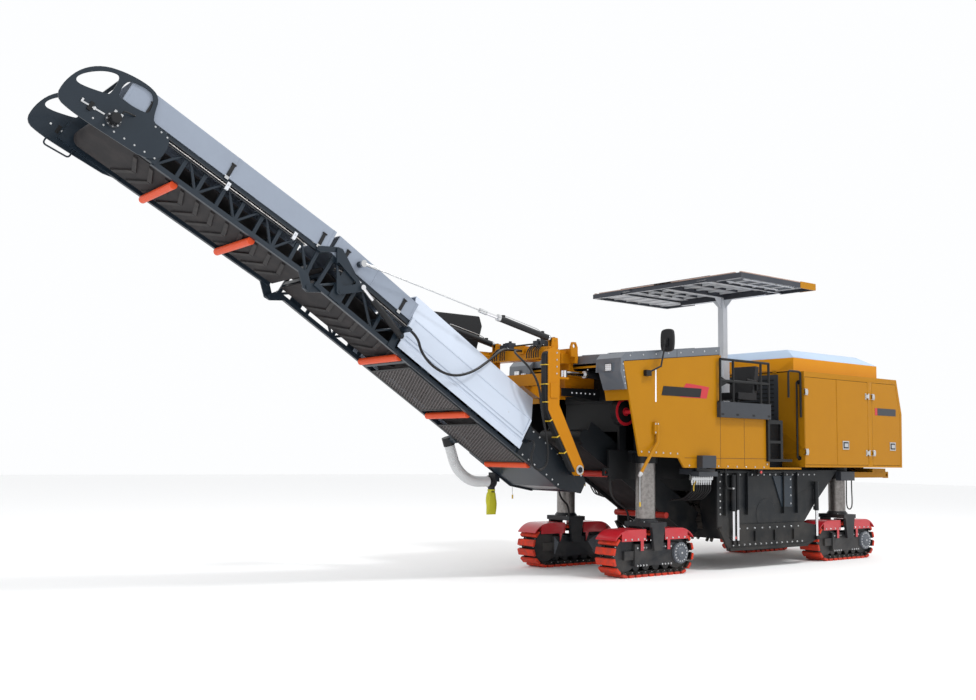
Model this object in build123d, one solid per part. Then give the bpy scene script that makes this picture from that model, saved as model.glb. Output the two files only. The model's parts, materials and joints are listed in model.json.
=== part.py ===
from build123d import *
import math
import os

os.makedirs("parts", exist_ok=True)

# A self-propelled cold planer (road milling machine) on four crawler units.
# Millimetres. The machine frame has +X towards the discharge conveyor, +Y to the left,
# +Z up, X = 0 halfway between the front and rear legs and Z = 0 on the ground.
# At export everything moves along X so that the origin is under the middle of the bounding box.

# ---------------------------------------------------------------- driving dimensions
WHEELBASE = 4650.0            # between the front and rear leg axes
TRACK_GAUGE = 1650.0          # between the left and right leg axes
MODULE_WIDTH = 2500.0         # engine module over its doors
BODY_WIDTH = 2360.0           # front body over its side panels
BODY_PANEL = 30.0
STAY_RADIUS = 22.0            # bent stays beside the front body
AXLE_X = WHEELBASE / 2
AXLE_Y = TRACK_GAUGE / 2
MODULE_HALF = MODULE_WIDTH / 2
BODY_HALF = BODY_WIDTH / 2
MODULE_FRONT_X = -850.0
MODULE_REAR_X = -3650.0
MODULE_FLOOR_Z = 1520.0
MODULE_ROOF_Z = 3030.0
DECK_Z = 2250.0               # operator platform
FIT = 0.3                     # clearance between seated faces of different bodies
RUN = 6.0                     # clearance round moving panels
PIN_FIT = 0.5                 # radial clearance of pins, rods and legs

# crawler unit
SHOE_WIDTH = 357.0
SHOE_COUNT = 30
IDLER_SPACING = 1030.0
LOOP_RADIUS = 300.0           # to the faces of the pads on the round ends
PAD_HEIGHT = 46.0
BAND_THICKNESS = 34.0
LEG_DIAMETER = 275.0
LEG_BOTTOM_Z = 742.0
LEG_TOP_Z = 2180.0
YOKE_LENGTH = 330.0
YOKE_THICKNESS = 46.0
FRAME_LENGTH = 900.0
FRAME_HEIGHT = 250.0
FENDER_RADIUS = 352.0
FENDER_THICKNESS = 14.0
HUB_RADIUS = 150.0

# legs' sleeves and chassis
SLEEVE_WALL = 32.0
SLEEVE_RADIUS = LEG_DIAMETER / 2 + SLEEVE_WALL
FRONT_SLEEVE_Z = 1560.0
REAR_SLEEVE_Z = 1330.0
CHASSIS_HALF = 560.0          # half width of the box frame between the crawlers
CHASSIS_TOP_Z = 1740.0
REAR_BOX_REAR_X = -3560.0
BUMPER_REAR_X = -3520.0
BUMPER_HALF = 1010.0
WALL_THICKNESS = 40.0
WALL_FRONT_X = 2780.0
WALL_LOW_Z = 1330.0
TIE_DOWN_RADIUS = 30.0
TIE_DOWN_FRONT = (2835.0, 1430.0)
TIE_DOWN_REAR = (-3572.0, 1392.0)
LIFT_EYE_RADIUS = 30.0

# milling unit
DRUM_X = -130.0
DRUM_Z = 800.0
DRUM_RADIUS = 405.0
TOOL_RADIUS = 490.0           # to the tips of the cutting tools
HOUSING_HALF = 1030.0         # half width over the side walls
HOUSING_WALL = 30.0
DRUM_SIDE_GAP = 15.0
DRUM_WIDTH = 2 * (HOUSING_HALF - HOUSING_WALL - DRUM_SIDE_GAP)
HOUSING_TOP_Z = 1470.0
SHAFT_RADIUS = 110.0
TOOL_ROW_COUNT = 22
TOOL_START_COUNT = 4
TOOL_WRAP = 150.0             # turn of each spiral, from the middle to the end, in degrees
HOUSING_REAR_X = -1100.0
NOSE_HALF = 700.0              # half width of the opening for the slewing mount
HUB_TOP_Z = 3100.0             # faces of the slewing hubs that the bracket forks over
HUB_LOW_Z = 2490.0
NOSE_BEAM_Z = 2420.0
HUB_HEIGHT = 145.0
CROWN_LOW_Z = HUB_TOP_Z - 140
CROWN_TOP_Z = HUB_TOP_Z + 20
NOSE_REAR_X = 2600.0
HOOD_SEAT_Z = CROWN_TOP_Z     # top of the arm that carries the suction hood
SIDE_PLATE_THICKNESS = 30.0
SIDE_PLATE_BOTTOM_Z = 280.0
SIDE_PLATE_TOP_Z = 660.0

# slewing conveyor
SLEW_X = 3350.0
SLEW_CYLINDER_Y = 430.0
SLEW_CYLINDER_Z = 2790.0
SLEW_BASE_X = 2300.0
SLEW_EYE_X = 3530.0
HORN_HALF = 58.0              # half height of the rod's eye between the beams
LIFT_X = 3470.0               # pins that carry the lower conveyor
LIFT_Z = 1460.0
ARM_Y = 640.0                 # middle of each arm
ARM_THICKNESS = 90.0
CONVEYOR_X = 3650.0           # foot of the underside line of the lower conveyor
CONVEYOR_Z = 1180.0
LOWER_SLOPE = 31.76
UPPER_SLOPE = 27.62
TRUSS_HALF = 493.0            # half width over the side trusses
CRANK_Y = TRUSS_HALF + 28.0     # inner face of the folding cranks
FOLD_S = 4620.0               # fold hinge, along and below the underside of the lower truss
FOLD_H = -70.0
UPPER_H = 97.0                # underside of the upper truss over its hinge
TRUSS_START = 900.0
TRUSS_DEPTH = 455.0
TRUSS_BAYS = 8
TRUSS_CHORD = 55.0
UPPER_START = 60.0            # first frame of the upper truss after the hinge
UPPER_LENGTH = 3320.0         # from the hinge to the front of the tip guards
STRUT_Y = 606.0
STRUT_X = 3900.0
STRUT_Z = HUB_TOP_Z + 110
CABLE_PIN_X = 6930.0
CABLE_PIN_Z = 3890.0
CRANK_PIN = (7197.0, 3540.0)      # folding cranks: lower pin, top corner and cylinder pin
CRANK_TOP = (7233.0, 4020.0)
CRANK_EYE = (6913.0, 3608.0)
FOLD_CYLINDER_PIN = (6365.0, 3075.0)
GLAND_REACH = 42.0                # from the cylinder pin to the gland's face

# engine module: doors as name, hinge edge X, free edge X
DOOR_THICKNESS = 40.0
DOOR_BOTTOM_Z = 1560.0
DOOR_TOP_Z = 2940.0
DOORS = (("door_front", -870.0, -1727.0), ("door_middle", -2620.0, -1733.0), ("door_rear", -2757.0, -3590.0))
HINGE_Z = (1760.0, 2705.0)
HINGE_OUT = 20.0
KNUCKLE_RADIUS = 18.0
HINGE_PIN_RADIUS = 8.0
ROOF_REAR_X = -3520.0
RAKE_Z = 2440.0               # height where the rear face starts to lean forwards
HOOD_FRONT_X = -860.0
HOOD_REAR_X = -3240.0
HOOD_HALF = 1050.0
HOOD_BASE_Z = MODULE_ROOF_Z + 18.0
HOOD_SHOULDER_Z = HOOD_BASE_Z + 214
HOOD_TOP_Z = HOOD_BASE_Z + 372
HOOD_HINGE_X = HOOD_FRONT_X + 20
HOOD_HINGE_Z = HOOD_BASE_Z + 10
HOOD_HINGE_Y = 700.0
HOOD_EAR_RADIUS = 14.0
HOOD_PIN_RADIUS = 8.0

# canopy
CANOPY_REAR_X = -772.0
CANOPY_FRONT_X = 1068.0
CANOPY_HALF = 1548.0
CANOPY_Z = 4283.0
MAST_X = -410.0

# hoses: radius and route of each, X, Y, Z of the machine frame
HOSE_SHARE = 0.45             # share of the shorter run taken by each bend
BRACKET_GLAND_X = 4040.0
CHASSIS_GLAND_Z = 1310.0
FOOT_GLAND_Y = 560.0
BOX_BOTTOM_Z = 1300.0
DUCT_Y = -660.0
FOOT_GLAND_X = 4285.0
FOOT_GLAND_Z = 1840.0
FEED_RADIUS = 17.0
HOSE_RADIUS = 15.0
THIN_HOSE_RADIUS = 10.0
REEL_X = 2780.0
REEL_Z = 2270.0
REEL_RADIUS = 195.0
DUCT_RADIUS = 75.0
DUCT_END_X = 3985.0
DUCT_END_Z = 1270.0
NECK_X = DUCT_END_X - 60
BAG_TOP_Z = 1160.0
BAG_LOW_Z = 800.0
FEED_ROUTE = [(6110, 655, 2880), (5900, 645, 2700), (5600, 630, 2615), (5270, 605, 2690), (4960, 560, 2870),
              (4600, 330, 3030), (4280, 40, 3095), (BRACKET_GLAND_X + FIT, 40, 3095)]
BRACKET_ROUTE = [(BRACKET_GLAND_X + FIT, 110, 3085), (4190, 110, 3085), (4300, 330, 2990), (4290, 600, 2800),
                 (4215, 695, 2560), (4185, 705, 2250), (4090, 712, 1870), (4072, 718, 1640),
                 (4115, 720, 1510),
                 (4235, 720, 1445), (4350, 720, 1510), (4385, 722, 1640), (4325, 725, 1765),
                 (FOOT_GLAND_X, 660, FOOT_GLAND_Z), (FOOT_GLAND_X, FOOT_GLAND_Y + FIT, FOOT_GLAND_Z)]
TRACK_ROUTE = [(2740, 540, CHASSIS_GLAND_Z - FIT), (2740, 540, 1150), (2665, 565, 1010), (2450, 618, 900),
               (2450, 618, LEG_BOTTOM_Z + FIT)]
REAR_ROUTE = [(-2410, 1055, BOX_BOTTOM_Z - FIT), (-2410, 1055, 1140), (-2418, 1056, 1000), (-2410, 1057, 862),
              (-2335, 1057, 819), (-2260, 1057, 862), (-2252, 1056, 1000), (-2260, 1055, 1140),
              (-2260, 1055, BOX_BOTTOM_Z - FIT)]
DUCT_ROUTE = [(4683, DUCT_Y, 1773), (4567, DUCT_Y, 1453.5), (4305, DUCT_Y, DUCT_END_Z),
              (DUCT_END_X, DUCT_Y, DUCT_END_Z)]



# ---------------------------------------------------------------- helpers
def block(x0, x1, y0, y1, z0, z1):
    """Box between three pairs of coordinates."""
    return Pos((x0 + x1) / 2, (y0 + y1) / 2, (z0 + z1) / 2) * Box(abs(x1 - x0), abs(y1 - y0), abs(z1 - z0))


def rod(start, end, radius):
    """Round bar between two points."""
    start = Vector(*start)
    end = Vector(*end)
    span = end - start
    frame = Plane(origin=start, z_dir=span)
    return extrude(frame * Circle(radius), span.length)


def tube(start, end, radius, bore):
    """Round tube between two points."""
    start = Vector(*start)
    end = Vector(*end)
    span = end - start
    frame = Plane(origin=start, z_dir=span)
    return extrude(frame * (Circle(radius) - Circle(bore)), span.length)


def side_face(points, radius=0.0):
    """Closed outline in X and Z, with rounded corners."""
    face = make_face(Polyline(*points, close=True))
    return fillet(face.vertices(), radius) if radius else face


def side_plate(points, y0, y1, radius=0.0):
    """Plate of an X-Z outline between two Y values."""
    low, high = min(y0, y1), max(y0, y1)
    frame = Plane(origin=(0, high, 0), x_dir=(1, 0, 0), z_dir=(0, -1, 0))
    return extrude(frame * side_face(points, radius), high - low)


def cross_plate(points, x0, x1, radius=0.0):
    """Plate of a Y-Z outline between two X values."""
    frame = Plane(origin=(x0, 0, 0), x_dir=(0, 1, 0), z_dir=(1, 0, 0))
    return extrude(frame * side_face(points, radius), x1 - x0)


def both(shape):
    """A piece and its mirror image across the centre plane."""
    return [shape, mirror(shape, about=Plane.XZ)]


def fused(first, *others):
    """One shape from pieces that overlap."""
    result = first
    flat = []
    for other in others:
        if isinstance(other, (list, tuple)):
            flat.extend(other)
        else:
            flat.append(other)
    if flat:
        result = first.fuse(*flat)
    return result


def hose(name, route, radius):
    """Hose of straight runs and tangent arcs along a route; its tightest bend is printed."""
    corners = [Vector(*point) for point in route]
    edges = []
    start = corners[0]
    tightest = math.inf
    for before, corner, after in zip(corners, corners[1:], corners[2:]):
        inward = (before - corner).normalized()
        outward = (after - corner).normalized()
        turn = math.radians(180 - inward.get_angle(outward))
        reach = HOSE_SHARE * min((before - corner).length, (after - corner).length)
        bend = reach / math.tan(turn / 2)
        to_middle = math.hypot(bend, reach) - bend
        arc_start = corner + inward * reach
        arc_middle = corner + (inward + outward).normalized() * to_middle
        arc_end = corner + outward * reach
        edges.append(Line(start, arc_start))
        edges.append(ThreePointArc(arc_start, arc_middle, arc_end))
        start = arc_end
        tightest = min(tightest, bend)
    edges.append(Line(start, corners[-1]))
    path = Wire([edge.edge() for edge in edges])
    section = Plane(origin=corners[0], z_dir=corners[1] - corners[0]) * Circle(radius)
    body = sweep(section, path=path)
    share = body.volume / (math.pi * radius ** 2 * path.length)
    print(name, "length", round(path.length), "tightest bend", round(tightest), "or",
          round(tightest / radius / 2, 1),
          "diameters, volume over its tube's", round(share, 4))
    return body


nodes = {}


def keep(name, *shapes):
    """Store the solids of a node."""
    solids = []
    for shape in shapes:
        if isinstance(shape, (list, tuple)):
            for one in shape:
                solids.extend(one.solids())
        else:
            solids.extend(shape.solids())
    nodes[name] = solids


# ---------------------------------------------------------------- crawler units
def shoe_loop():
    """Track loop about its own centre on the ground: band and pads in one outline, along X."""
    half = IDLER_SPACING / 2
    pitch_radius = LOOP_RADIUS - PAD_HEIGHT
    length = 2 * IDLER_SPACING + 2 * math.pi * pitch_radius
    pitch = length / SHOE_COUNT

    def at(distance, lift):
        """Point of the loop at a distance along its band, lifted outwards."""
        distance = distance % length
        run = IDLER_SPACING
        turn = math.pi * pitch_radius
        reach = pitch_radius + lift
        if distance < run:
            return (half - distance, LOOP_RADIUS - reach)
        if distance < run + turn:
            angle = (distance - run) / pitch_radius
            return (-half - reach * math.sin(angle), LOOP_RADIUS - reach * math.cos(angle))
        if distance < 2 * run + turn:
            return (-half + (distance - run - turn), LOOP_RADIUS + reach)
        angle = (distance - 2 * run - turn) / pitch_radius
        return (half + reach * math.sin(angle), LOOP_RADIUS + reach * math.cos(angle))

    outline = []
    for index in range(SHOE_COUNT):
        start = index * pitch
        # gap edge, pad edge, pad edge, gap edge
        for part, lift in ((0.06, 0.0), (0.10, PAD_HEIGHT), (0.90, PAD_HEIGHT), (0.94, 0.0)):
            outline.append(at(start + part * pitch, lift))
    loop = side_plate(outline, -SHOE_WIDTH / 2, SHOE_WIDTH / 2)
    inner = pitch_radius - BAND_THICKNESS
    inside = extrude(SlotCenterToCenter(IDLER_SPACING, 2 * inner), SHOE_WIDTH, both=True)
    slot = Pos(0, 0, LOOP_RADIUS) * Rot(90, 0, 0) * inside
    return loop - slot


def track_frame():
    """Track frame with its rollers, idler and sprocket hub, inside the loop."""
    inner = LOOP_RADIUS - PAD_HEIGHT - BAND_THICKNESS - FIT
    roller_z = 150.0
    half = IDLER_SPACING / 2
    beam_half = SHOE_WIDTH / 2 - 8
    beam = block(-FRAME_LENGTH / 2, FRAME_LENGTH / 2 - 60, -beam_half, beam_half, LOOP_RADIUS - 150,
                 LOOP_RADIUS + 150)
    idler = rod((half, -110, LOOP_RADIUS), (half, 110, LOOP_RADIUS), inner)
    sprocket = rod((-half, -110, LOOP_RADIUS), (-half, 110, LOOP_RADIUS), inner)
    hub = rod((-half, -beam_half, LOOP_RADIUS), (-half, beam_half + 34, LOOP_RADIUS), HUB_RADIUS)
    pin = rod((0, -beam_half - 60, LOOP_RADIUS + 130), (0, beam_half + 60, LOOP_RADIUS + 130), 45)
    arm = block(FRAME_LENGTH / 2 - 100, half + 60, -beam_half + 20, beam_half - 20, LOOP_RADIUS - 60,
                LOOP_RADIUS + 60)
    rollers = []
    for index in range(4):
        x = -300 + 200 * index
        rollers.append(rod((x, -100, roller_z), (x, 100, roller_z),
                           roller_z - PAD_HEIGHT - BAND_THICKNESS - FIT))
    return fused(beam, idler, sprocket, hub, pin, arm, rollers)


def fenders():
    """Front and rear guards over the loop, carried by the track frame."""
    outer = FENDER_RADIUS
    half = IDLER_SPACING / 2
    width = SHOE_WIDTH / 2 + 16
    pieces = []
    for end in (1, -1):
        ring = Circle(outer) - Circle(outer - FENDER_THICKNESS)
        quarter = ring & Pos(outer / 2, outer / 2) * Rectangle(outer, outer)
        frame = Plane(origin=(end * half, width, LOOP_RADIUS), x_dir=(end, 0, 0), z_dir=(0, -end, 0))
        start = extrude(frame * quarter, end * 2 * width)
        near_x = end * 190
        top = block(near_x, end * half, -width, width, LOOP_RADIUS + outer - FENDER_THICKNESS,
                    LOOP_RADIUS + outer)
        cheek_outline = [(near_x, LOOP_RADIUS + 195), (end * (half + 150), LOOP_RADIUS + 195),
                         (end * (half + 150), LOOP_RADIUS + outer - 42),
                         (end * half, LOOP_RADIUS + outer - 7),
                         (near_x, LOOP_RADIUS + outer - 7)]
        cheek = both(side_plate(cheek_outline, width - 10, width))
        web = block(near_x, end * 250, -width, width, 2 * LOOP_RADIUS + 12, LOOP_RADIUS + outer)
        stays = []
        for side in (1, -1):
            stays.append(block(end * 240, end * 300, side * (width - 10), side * width, LOOP_RADIUS + 60,
                               LOOP_RADIUS + 200))
            stays.append(block(end * 240, end * 300, side * 160, side * width, LOOP_RADIUS + 60,
                               LOOP_RADIUS + 120))
        pieces.append(fused(start, top, cheek, web, stays))
    return pieces


def leg():
    """Leg column and the forked yoke that straddles the loop."""
    arm_in = SHOE_WIDTH / 2 + 24
    arm_out = arm_in + YOKE_THICKNESS
    top = LEG_BOTTOM_Z
    column = rod((0, 0, top - 30), (0, 0, LEG_TOP_Z), LEG_DIAMETER / 2)
    crown = block(-YOKE_LENGTH / 2, YOKE_LENGTH / 2, -arm_out, arm_out, top - 62, top)
    half = YOKE_LENGTH / 2
    eye_z = LOOP_RADIUS + 130
    points = [(-half * 0.85, top), (half * 0.85, top), (half * 0.5, eye_z - 75), (-half * 0.5, eye_z - 75)]
    outer = side_plate(points, arm_in, arm_out, 20)
    return fused(column, crown, both(outer))


def crawler_units():
    """Four crawler units, each with a steered leg."""
    loop = shoe_loop()
    frame = fused(track_frame(), fenders(), leg())
    places = (("front_left", AXLE_X, AXLE_Y), ("front_right", AXLE_X, -AXLE_Y),
              ("rear_left", -AXLE_X, AXLE_Y), ("rear_right", -AXLE_X, -AXLE_Y))
    for name, x, y in places:
        side = 1 if y > 0 else -1

        def put(shape):
            turned = shape if side > 0 else mirror(shape, about=Plane.XZ)
            return Pos(x, y, 0) * turned

        keep(name + "_track_loop", put(loop))
        keep(name + "_crawler", put(frame))


# ---------------------------------------------------------------- chassis
def tie_down(x, z, y0, y1, x0, x1):
    """Lug with a bore across the machine for a shackle, on each side."""
    lug = block(x0, x1, y0, y1, z - 55, z + 55) - rod((x, y0 - 5, z), (x, y1 + 5, z), TIE_DOWN_RADIUS)
    return both(lug)


def main_frame():
    """Chassis of plates and beams: side walls, floor, nose wall, rear box, bumper wings and leg sleeves."""
    half = CHASSIS_HALF
    inner = half - WALL_THICKNESS
    solids = []
    solids.extend(both(block(740 + FIT, WALL_FRONT_X, inner, half, WALL_LOW_Z, CHASSIS_TOP_Z)))
    solids.append(block(740 + FIT, 2150, -inner + FIT, inner - FIT, CHASSIS_TOP_Z - 30, CHASSIS_TOP_Z))
    solids.append(block(HOUSING_REAR_X - 5 + FIT, 740, -half, half, HOUSING_TOP_Z + FIT, HOUSING_TOP_Z + 40))
    solids.append(block(REAR_BOX_REAR_X, HOUSING_REAR_X - 5, -half, half, 1380, MODULE_FLOOR_Z - FIT))
    solids.append(block(2540, 2580, -inner + FIT, inner - FIT, 2000, NOSE_BEAM_Z - FIT))
    solids.extend(both(block(2440, 2580, inner, half, CHASSIS_TOP_Z + FIT, NOSE_BEAM_Z - FIT)))
    solids.extend(both(block(2700, 2780, inner - 15, half + 15, CHASSIS_GLAND_Z, WALL_LOW_Z - FIT)))
    wing = block(BUMPER_REAR_X, -2500, half + FIT, BUMPER_HALF, 1345, 1440)
    wing = fused(wing, block(BUMPER_REAR_X, -3120, half + FIT, BUMPER_HALF, 1430, 1500))
    solids.extend(both(wing))
    web_out = AXLE_Y - LEG_DIAMETER / 2 - 5
    for x, z0, web_top in ((AXLE_X, FRONT_SLEEVE_Z, CHASSIS_TOP_Z), (-AXLE_X, REAR_SLEEVE_Z, 1500)):
        sleeve = rod((x, AXLE_Y, z0), (x, AXLE_Y, LEG_TOP_Z + 40), SLEEVE_RADIUS)
        sleeve = fused(sleeve, block(x - 60, x + 60, half + FIT, web_out, z0 + 20, web_top))
        sleeve -= rod((x, AXLE_Y, 1200), (x, AXLE_Y, LEG_TOP_Z + 60), LEG_DIAMETER / 2 + PIN_FIT)
        solids.extend(both(sleeve))
    x, z = TIE_DOWN_FRONT
    solids.extend(tie_down(x, z, inner, half, WALL_FRONT_X + FIT, x + 50))
    x, z = TIE_DOWN_REAR
    solids.extend(tie_down(x, z, BUMPER_HALF - 60, BUMPER_HALF - 10, x - 50, BUMPER_REAR_X - FIT))
    keep("main_frame", solids)


def milling_housing():
    """Open-bottomed housing round the drum, with side walls and rear gussets."""
    wall = HOUSING_HALF
    inner = wall - HOUSING_WALL
    outline = [(900, 560), (1010, 620), (1010, HOUSING_TOP_Z), (-2040, HOUSING_TOP_Z),
               (-1360, 900), (-1010, 560), (-900, 480), (780, 480)]
    side = side_plate(outline, inner, wall)
    bore = rod((DRUM_X, inner - 5, DRUM_Z), (DRUM_X, wall + 5, DRUM_Z), SHAFT_RADIUS + PIN_FIT)
    side = side - bore
    front = side_plate([(560, 430), (600, 430), (700, 900), (700, HOUSING_TOP_Z), (660, HOUSING_TOP_Z),
                        (660, 905)],
                       -inner - 5, inner + 5)
    window = block(500, 760, -430, 430, 560, 1130)
    front = front - window
    top = block(HOUSING_REAR_X, 700, -inner - 5, inner + 5, HOUSING_TOP_Z - 30, HOUSING_TOP_Z)
    rear = block(HOUSING_REAR_X, HOUSING_REAR_X + 40, -inner - 5, inner + 5, 1180, HOUSING_TOP_Z)
    shell = fused(front, both(side), top, rear)
    barrels = []
    for x, z0, z1 in ((700, 860, 1400), (600, 880, 1420), (-1385, 830, 1290)):
        barrels.append(tube((x, wall + 45, z0), (x, wall + 45, z1), 36, 22.5 + PIN_FIT))
        barrels.append(block(x - 20, x + 20, wall - 5, wall + 15, z1 - 120, z1 - 60))
        barrels.append(block(x - 20, x + 20, wall - 5, wall + 15, z0 + 10, z0 + 70))
    barrels_all = []
    for one in barrels:
        barrels_all.extend(both(one))
    keep("drum_housing", fused(shell, barrels_all))


def milling_drum():
    """Drum with rows of cutting tools on a spiral, and its shaft ends."""
    half = DRUM_WIDTH / 2
    core = rod((DRUM_X, -half, DRUM_Z), (DRUM_X, half, DRUM_Z), DRUM_RADIUS)
    shaft = rod((DRUM_X, 2 - HOUSING_HALF, DRUM_Z), (DRUM_X, HOUSING_HALF - 2, DRUM_Z), SHAFT_RADIUS)
    foot = DRUM_RADIUS - 20
    end_gap = 35.0
    spacing = (DRUM_WIDTH - 2 * end_gap) / (TOOL_ROW_COUNT - 1)
    tools = []
    for row in range(TOOL_ROW_COUNT):
        for start in range(TOOL_START_COUNT):
            y = -half + end_gap + row * spacing
            wrap = abs(y) / half * TOOL_WRAP
            angle = math.radians(start * 360 / TOOL_START_COUNT + wrap)
            lean = angle + 0.10
            tip = (DRUM_X + TOOL_RADIUS * math.cos(lean), y, DRUM_Z + TOOL_RADIUS * math.sin(lean))
            base = (DRUM_X + foot * math.cos(angle), y, DRUM_Z + foot * math.sin(angle))
            tools.append(rod(base, tip, 24))
    keep("milling_drum", fused(core, shaft, tools))


def side_plates():
    """Height-adjusting edge plates with their skids and piston rods."""
    y0 = HOUSING_HALF + RUN
    y1 = y0 + SIDE_PLATE_THICKNESS
    bottom = SIDE_PLATE_BOTTOM_Z
    outline = [(800, bottom), (-1120, bottom), (-1430, bottom + 110), (-1430, bottom + 330),
               (-1340, bottom + 330),
               (-1000, SIDE_PLATE_TOP_Z), (640, SIDE_PLATE_TOP_Z), (760, bottom + 130)]
    plate = side_plate(outline, y0, y1)
    nose = side_plate([(800, bottom), (740, bottom + 120), (950, bottom + 350), (1030, bottom + 330)], y0,
                      y1 + 10)
    skid = block(-1120, 800, y0, y1 + 30, bottom, bottom + 45)
    parts = [nose, skid]
    for x, top in ((700, 1150), (600, 1150), (-1385, 1100)):
        y = HOUSING_HALF + 45
        parts.append(rod((x, y, bottom + 110), (x, y, top), 22.5))
        parts.append(block(x - 32, x + 32, y0, y + 26, bottom + 90, bottom + 150))
    plate = fused(plate, parts)
    keep("left_side_plate", plate)
    keep("right_side_plate", mirror(plate, about=Plane.XZ))


def scraper():
    """Rear scraper gate hung from a pin across the housing."""
    inner = HOUSING_HALF - HOUSING_WALL - RUN
    pin = rod((-1020, -HOUSING_HALF + HOUSING_WALL + FIT, 1140), (-1020, HOUSING_HALF - HOUSING_WALL - FIT,
                                                                  1140), 30)
    points = [(-1050, 1140), (-990, 1140), (-760, 420), (-700, 330), (-760, 300), (-830, 400)]
    gate = side_plate(points, -inner, inner)
    keep("scraper_gate", fused(gate, pin))


def primary_conveyor():
    """Loading conveyor inside the chassis, from the drum up to the slewing point."""
    low = (830.0, 640.0)
    high = (3100.0, 1960.0)
    slope = math.degrees(math.atan2(high[1] - low[1], high[0] - low[0]))
    length = math.hypot(high[0] - low[0], high[1] - low[1])
    half = 430.0
    wall = block(0, length, half - 20, half, -200, 200)
    bed = block(60, length - 120, -half + 20, half - 20, -20, 0)
    belt_top = block(0, length, -380, 380, 40, 56)
    belt_low = block(0, length, -380, 380, -156, -140)
    head = rod((length, -half, -50), (length, half, -50), 105)
    tail = rod((0, -half, -50), (0, half, -50), 105)
    tie = block(length / 2 - 40, length / 2 + 40, -half, half, -20, 50)
    ties = [block(x, x + 60, -half, half, -150, -20) for x in (500, 1500)]
    body = fused(wall, mirror(wall, about=Plane.XZ), bed, belt_top, belt_low, head, tail, tie, ties)
    seat = CHASSIS_HALF - 40 - FIT
    red = [rod((x, -seat, -230), (x, seat, -230), 45) for x in (700, 1900)]
    hangers = []
    for x in (700, 1900):
        for side in (1, -1):
            y = side * (half - 10)
            hangers.append(block(x - 25, x + 25, y - 10, y + 10, -230, -190))
    body = fused(body, red, hangers)
    place = Pos(low[0], 0, low[1]) * Rot(0, -slope, 0)
    keep("primary_conveyor", place * body)


# ---------------------------------------------------------------- front body and platform
def front_body():
    """Painted side panels, bulkheads and floor of the front body."""
    half = BODY_HALF
    thick = BODY_PANEL
    outline = [(3133, 2939), (1111, 3160), (1111, DECK_Z), (-40, DECK_Z), (-40, 1484), (1910, 1503),
               (2020, 1640),
               (2820, 1657)]
    panel = side_plate(outline, half - thick, half, 25)
    nose_wall = side_plate([(3090, 2900), (3060, 2900), (2960, 2420), (2990, 2420)], -half + 5, half - 5)
    bulkhead = block(1085, 1111, -half + 5, half - 5, DECK_Z - 10, 3155)
    deck_front = side_plate([(3090, 2915), (3100, 2885), (1111, 3100), (1111, 3140)], -half + 5, half - 5)
    floor = block(1150, 2540, 700, half - 5, 1700, 1730)
    recess_y = 820.0
    recess = block(MODULE_FRONT_X + FIT, -40 + 30, recess_y - 20, recess_y, 1484, DECK_Z)
    recess_end = block(-40, -10, recess_y - 20, half - 5, 1500, DECK_Z)
    sill = block(MODULE_FRONT_X + FIT, 600, CHASSIS_HALF + FIT, recess_y, 1500, 1530)
    step = block(MODULE_FRONT_X + FIT, 30, recess_y - 20, half, 1484, 1512)
    inner_wall = block(-60, 1150, 640, 670, 1520, DECK_Z)
    pieces = []
    for one in (panel, floor, recess, recess_end, sill, step, inner_wall):
        pieces.extend(both(one))
    web = block(560, 600, -half + 5, half - 5, HOUSING_TOP_Z + 40 + FIT, DECK_Z)
    deck = block(MODULE_FRONT_X + FIT, 1111, -recess_y + 10, recess_y - 10, DECK_Z - 30, DECK_Z)
    left_deck = block(-40, 1111, 700, half - 5, DECK_Z - 30, DECK_Z)
    nose_wall -= block(2900, 3200, -NOSE_HALF, NOSE_HALF, 2300, 3000)
    seat = block(2470, 2560, half + FIT, half + 40, 1960, 2130)
    upright = rod((2500, half + 35, 2090), (2500, half + 35, 1840), STAY_RADIUS)
    brace = rod((2500, half + 35, 1850), (2960, 1330, 1420), STAY_RADIUS)
    body = fused(nose_wall, bulkhead, deck_front, web, deck, both(left_deck), pieces)
    for side in (1, -1):
        body -= rod((AXLE_X, side * AXLE_Y, 1400), (AXLE_X, side * AXLE_Y, 2400), SLEEVE_RADIUS + 1)
    keep("front_body", body, both(fused(seat, upright, brace)))


def front_cap():
    """Grey bonnet cap across the nose, with its lamp housings."""
    half = BODY_HALF
    top = side_plate([(3190, 2800), (3180, 2985), (3100, 3062), (1111, 3280), (1111, 3162), (3136, 2942),
                      (3110, 2820)],
                     -half, half)
    cheek = side_plate([(3190, 2800), (3180, 2985), (3136, 2941), (3062, 2560), (3100, 2560)], 760, half)
    top -= block(2990, 3300, -NOSE_HALF, NOSE_HALF, 2700, 2942)
    top -= block(3100, 3300, -NOSE_HALF, NOSE_HALF, 2700, 3100)
    lamps = []
    for side in (1, -1):
        lamps.append(block(3150, 3215, side * 900, side * 1040, 2800, 2920))
    cap = fused(top, both(cheek), lamps)
    keep("front_cap", cap)


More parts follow.
